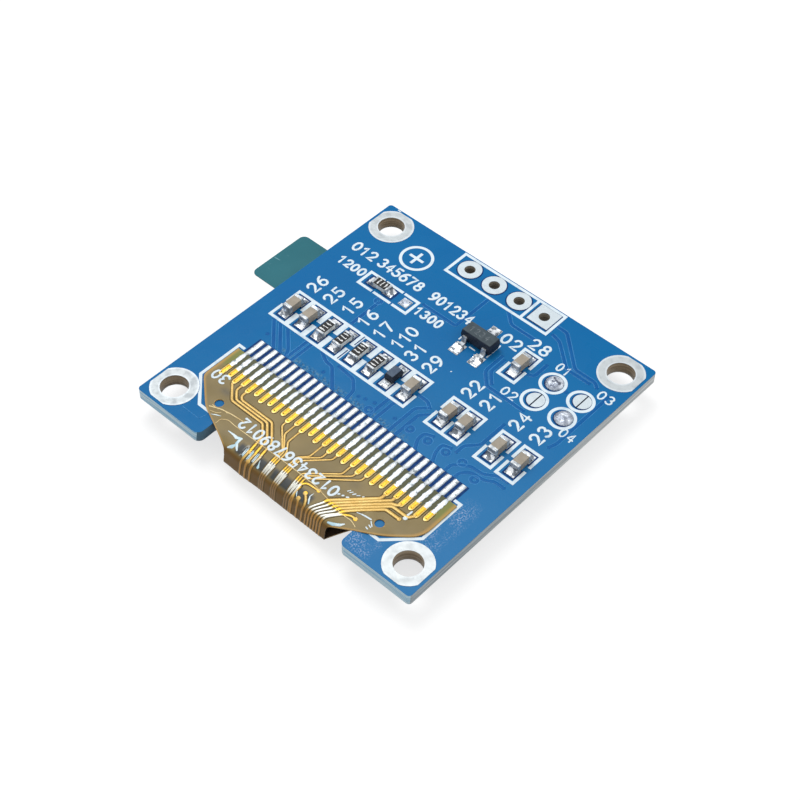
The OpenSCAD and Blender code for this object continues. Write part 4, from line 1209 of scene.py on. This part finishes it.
lay_on_film(faces, 0.1, 0.012, gold_finish, "gold", "cable_copper")
lay_on_film(rims, 0.06, 0.006, pale_gold_finish, "gold")
lay_on_film(holes, 0.1, 0.03, hole_finish, "gold")
lay_on_film(traces, 0.22, 0.0, covered_finish, "gold")
lay_on_film(steps, 0.03, 0.001, step_finish, "cable_film")

# ---- Print on the cable ----
# The same white ink: the pin numbers at both ends of the row, and a line of plain numbers.
# The cover film ends beside it in an edge drawn as a pale line of painted highlight, and painted glints lie
# where the film is creased.
notes = draw_set("cable_numbers")
write(notes, "30", -9.2, -8.55, height=0.85, pitch=0.8, pen=0.2, turn=2)
draw(notes, [(9.04, -8.56), (9.02, -9.06), (9.07, -9.28)], 1.0, widths=(0.14, 0.2, 0.36))
write(notes, "0123456789012", 4.0, -10.5, height=0.9, pitch=0.75, pen=0.21, turn=2)
for x, y, x1, y1, thick in (
    (4.19, -10.91, 4.24, -10.86, 0.15), (4.5, -10.82, 4.55, -10.77, 0.15), (4.82, -10.72, 4.92, -10.66, 0.14),
    (4.5, -10.3, 4.62, -10.1, 0.08), (4.72, -10.28, 4.84, -10.1, 0.08), (4.98, -10.26, 5.1, -10.08, 0.1),
    (5.26, -10.14, 5.42, -10.0, 0.08), (5.62, -9.96, 5.7, -9.88, 0.08),
    (6.28, -11.21, 6.65, -11.1, 0.07), (6.65, -11.1, 6.89, -11.05, 0.12), (6.89, -11.05, 7.4, -10.99, 0.14),
    (7.52, -11.11, 7.86, -11.38, 0.09), (7.63, -11.43, 7.85, -11.51, 0.09), (7.59, -11.69, 7.78, -11.75, 0.1),
):
    draw(notes, [(x, y), (x1, y1)], thick)
lay_on_film(notes, 0.1, 0.012, ink_finish, "legend_ink")

# Painted highlights: pale lines along the cover film's edge and over its creases
edge_highlight_finish = Finish("cover_film_edge_highlight", 0.4)
edge_highlight_finish.mottle((232, 208, 150), (206, 176, 116), 900)
creases = draw_set("cover_film_edge_highlight")
for width, line in (
    (0.1, [(-8.4, -11.5), (-7.6, -11.15), (-6.5, -10.95), (-5.3, -10.85)]),
    (0.06, [(-8.3, -11.25), (-7.75, -11.3), (-7.45, -11.05), (-6.9, -11.1)]),
    (0.06, [(-8.05, -11.75), (-7.5, -11.6), (-7.3, -11.35)]),
    (0.07, [(-6.85, -12.3), (-6.85, -11.8), (-6.4, -11.5), (-5.6, -11.55)]),
    (0.07, [(-5.6, -11.55), (0, -11.45), (2.5, -11.5), (5.4, -11.99), (5.93, -12.01), (6.42, -11.96),
            (7.01, -12.18)]),
):
    draw(creases, dense(rounded(line, 0.2)), width)
lay_on_film(creases, 0.15, 0.014, edge_highlight_finish, "clear_film")
# Painted highlights: glints on the creases and along the fold
glint_finish = Finish("painted_glint", 0.3)
glint_finish.mottle((226, 242, 248), (184, 220, 234), 1500)
glints = draw_set("painted_glints")
for line, widths in (
    ([(-5.62, -12.19), (-5.11, -12.18), (-4.75, -12.24), (-4.4, -12.07)], (0.08, 0.18, 0.3, 0.2)),
    ([(-4.42, -12.1), (-4.41, -12.35), (-4.38, -12.59), (-3.97, -12.98)], (0.2, 0.24, 0.26, 0.14)),
    ([(-4.7, -13.2), (-4.48, -13.0), (-4.34, -12.66)], (0.14, 0.34, 0.12)),
    ([(-7.75, -11.95), (-7.4, -11.75), (-7.05, -11.6)], (0.04, 0.1, 0.04)),
    ([(-3.48, -12.4), (-3.45, -12.7), (-3.42, -13.0)], (0.04, 0.08, 0.08)),
    ([(-3.38, -12.3), (-3.35, -12.6), (-3.32, -13.05)], (0.06, 0.09, 0.08)),
    ([(-2.99, -12.25), (-2.95, -12.6), (-2.92, -13.05)], (0.06, 0.08, 0.09)),
    ([(-2.88, -12.3), (-2.85, -12.65), (-2.82, -13.0)], (0.05, 0.08, 0.07)),
    ([(-2.52, -12.2), (-2.49, -12.6), (-2.46, -12.95)], (0.06, 0.08, 0.06)),
    ([(-2.41, -12.2), (-2.38, -12.6), (-2.35, -12.95)], (0.06, 0.08, 0.08)),
    ([(-2.0, -12.55), (-1.88, -12.8), (-1.75, -13.05)], (0.04, 0.08, 0.22)),
    ([(5.28, -13.12), (5.64, -13.02), (6.07, -12.76), (6.27, -12.5)], (0.16, 0.26, 0.24, 0.1)),
    ([(2.9, -12.1), (2.86, -12.4), (3.0, -12.66), (3.17, -12.9)], (0.04, 0.08, 0.14, 0.1)),
    ([(1.8, -12.6), (1.95, -12.85), (2.1, -13.0)], (0.04, 0.1, 0.04)),
):
    draw(glints, line, 1.0, widths=widths)
lay_on_film(glints, 0.12, 0.008, glint_finish, "cable_film")

# ---- Soldered contacts ----
# Each contact is soldered over its land by a hot bar: the solder covers the land, steps up over
# the cable's end and swells a little where the bar pressed it out.
row_gap_size = (21.1, 1.95, 0.02)
row_gap_y = -5.14
land_gap = block(row_gap_size, (0, row_gap_y, board_top + hair))
land_gap.name = "contact_row_gap"
round_edges(land_gap, 0.005, 1)
seat(land_gap, gap_finish, "board_mask")
edge_finish = Finish("dull_land_edge", 0.5, 0.3)
edge_finish.mottle((150, 160, 170), (96, 112, 132), 2600, 0.35, 0.65, 3)
dress(nodes["contact_lands"], edge_finish)

solder_row = draw_set("contact_solder_runs")
picker = random.Random(30)
for k in range(contact_number):
    x = contact_x(k)
    swell = -6.85 if k % 2 else -7.3
    shape = [(-4.23, 0.34), (-4.28, 0.39), (-4.5, 0.41), (-5.0, 0.41), (-5.5, 0.4), (-5.85, 0.36),
             (-6.0, 0.31), (-6.12, 0.3), (-6.3, 0.4), (-6.55, 0.42), (swell + 0.22, 0.38), (swell, 0.5),
             (swell - 0.22, 0.38), (-7.66, 0.36)]
    shape.sort(reverse=True)
    line = [(x + picker.uniform(-0.012, 0.012), y) for y, _ in shape]
    widths = [width * picker.uniform(0.94, 1.06) for _, width in shape]
    draw(solder_row, line, 1.0, ends="square", widths=widths)
to_mesh(solder_row, 0.17, land_top)
step = cable_top - land_top + 0.01
for vertex in solder_row.data.vertices:
    vertex.co.z += step * mm * smooth(-vertex.co.y / mm, -cable_end - 0.12, -cable_end + 0.04)
solder_row_finish = Finish("contact_solder", 0.32, 0.6)
solder_row_finish.mottle((232, 238, 242), (206, 214, 220), 1500, 0.3, 0.7, 3)
# Fine grey lines run along each contact, a little to each side of its middle
tree = solder_row_finish.tree
pitches = calc(tree, "ADD", calc(tree, "DIVIDE", solder_row_finish.along("X"), contact_pitch * mm), 0.5)
off_middle = times(tree, calc(tree, "PINGPONG", pitches, 0.5), contact_pitch * mm)
grey_lines = times(tree, band(tree, off_middle, 0.11, 0.14, 0.02),
                   solder_row_finish.area(Y=(-5.9, -4.3, 0.05)))
solder_row_finish.coat(grey_lines, (132, 146, 156), 0.6)
solder_row_finish.coat(solder_row_finish.patches(2600, 0.56, 0.66, 3), (150, 158, 162))
solder_row_finish.grain(2000, 0.02, 0.6, detail=3)
seat(solder_row, solder_row_finish, "solder", "contact_solder")

# ---- Display ----
# Two sheets of glass sealed at their rim, black from the polarizer behind them, with a clear
# protective film over the viewing face and a teal tab to pull it off.
for name, finish_name, roughness, first, second in (
    ("front_glass", "display_glass", 0.08, (34, 42, 48), (40, 50, 56)),
    ("cap_glass", "cap_glass", 0.1, (52, 62, 66), (60, 70, 74)),
):
    finish = Finish(finish_name, roughness)
    finish.mottle(first, second, 120)
    dress(nodes[name], finish)
# What sits between and behind the glasses
for name, roughness, metallic, first, second in (
    ("emitter_layer", 0.3, 0.4, (30, 34, 40), (38, 42, 50)),
    ("drying_pad", 0.85, 0.0, (206, 204, 196), (190, 188, 180)),
    ("polarizer", 0.25, 0.0, (20, 24, 28), (26, 30, 34)),
    ("driver_chip", 0.2, 0.3, (64, 68, 78), (78, 82, 92)),
    ("foam_tape", 0.9, 0.0, (226, 226, 220), (208, 208, 200)),
):
    finish = Finish(name, roughness, metallic)
    finish.mottle(first, second, 900, 0.35, 0.65, 3)
    dress(nodes[name], finish)
sheet_finish = Finish("protective_film", 0.12, gloss=0.6)
sheet_finish.color = (30, 36, 44)
sheet_finish.coat(sheet_finish.patches(300, 0.55, 0.7, 3, stretch=(1, 5, 1)), (52, 60, 70))
sheet_finish.grain(260, 0.02, 0.3)
dress(nodes["protective_film"], sheet_finish)
tab_finish = Finish("teal_tab", 0.45, gloss=0.15)
tab_finish.mottle((36, 106, 118), (44, 114, 126), 220, 0.3, 0.7)
tab_finish.coat(tab_finish.patches(700, 0.68, 0.74, 3, stretch=(1, 6, 1)), (110, 160, 170))
tab = merged_copy("pull_tab", "teal_pull_tab")
round_edges(tab, 0.012, 1)
seat(tab, tab_finish, "tab_film", "pull_tab")
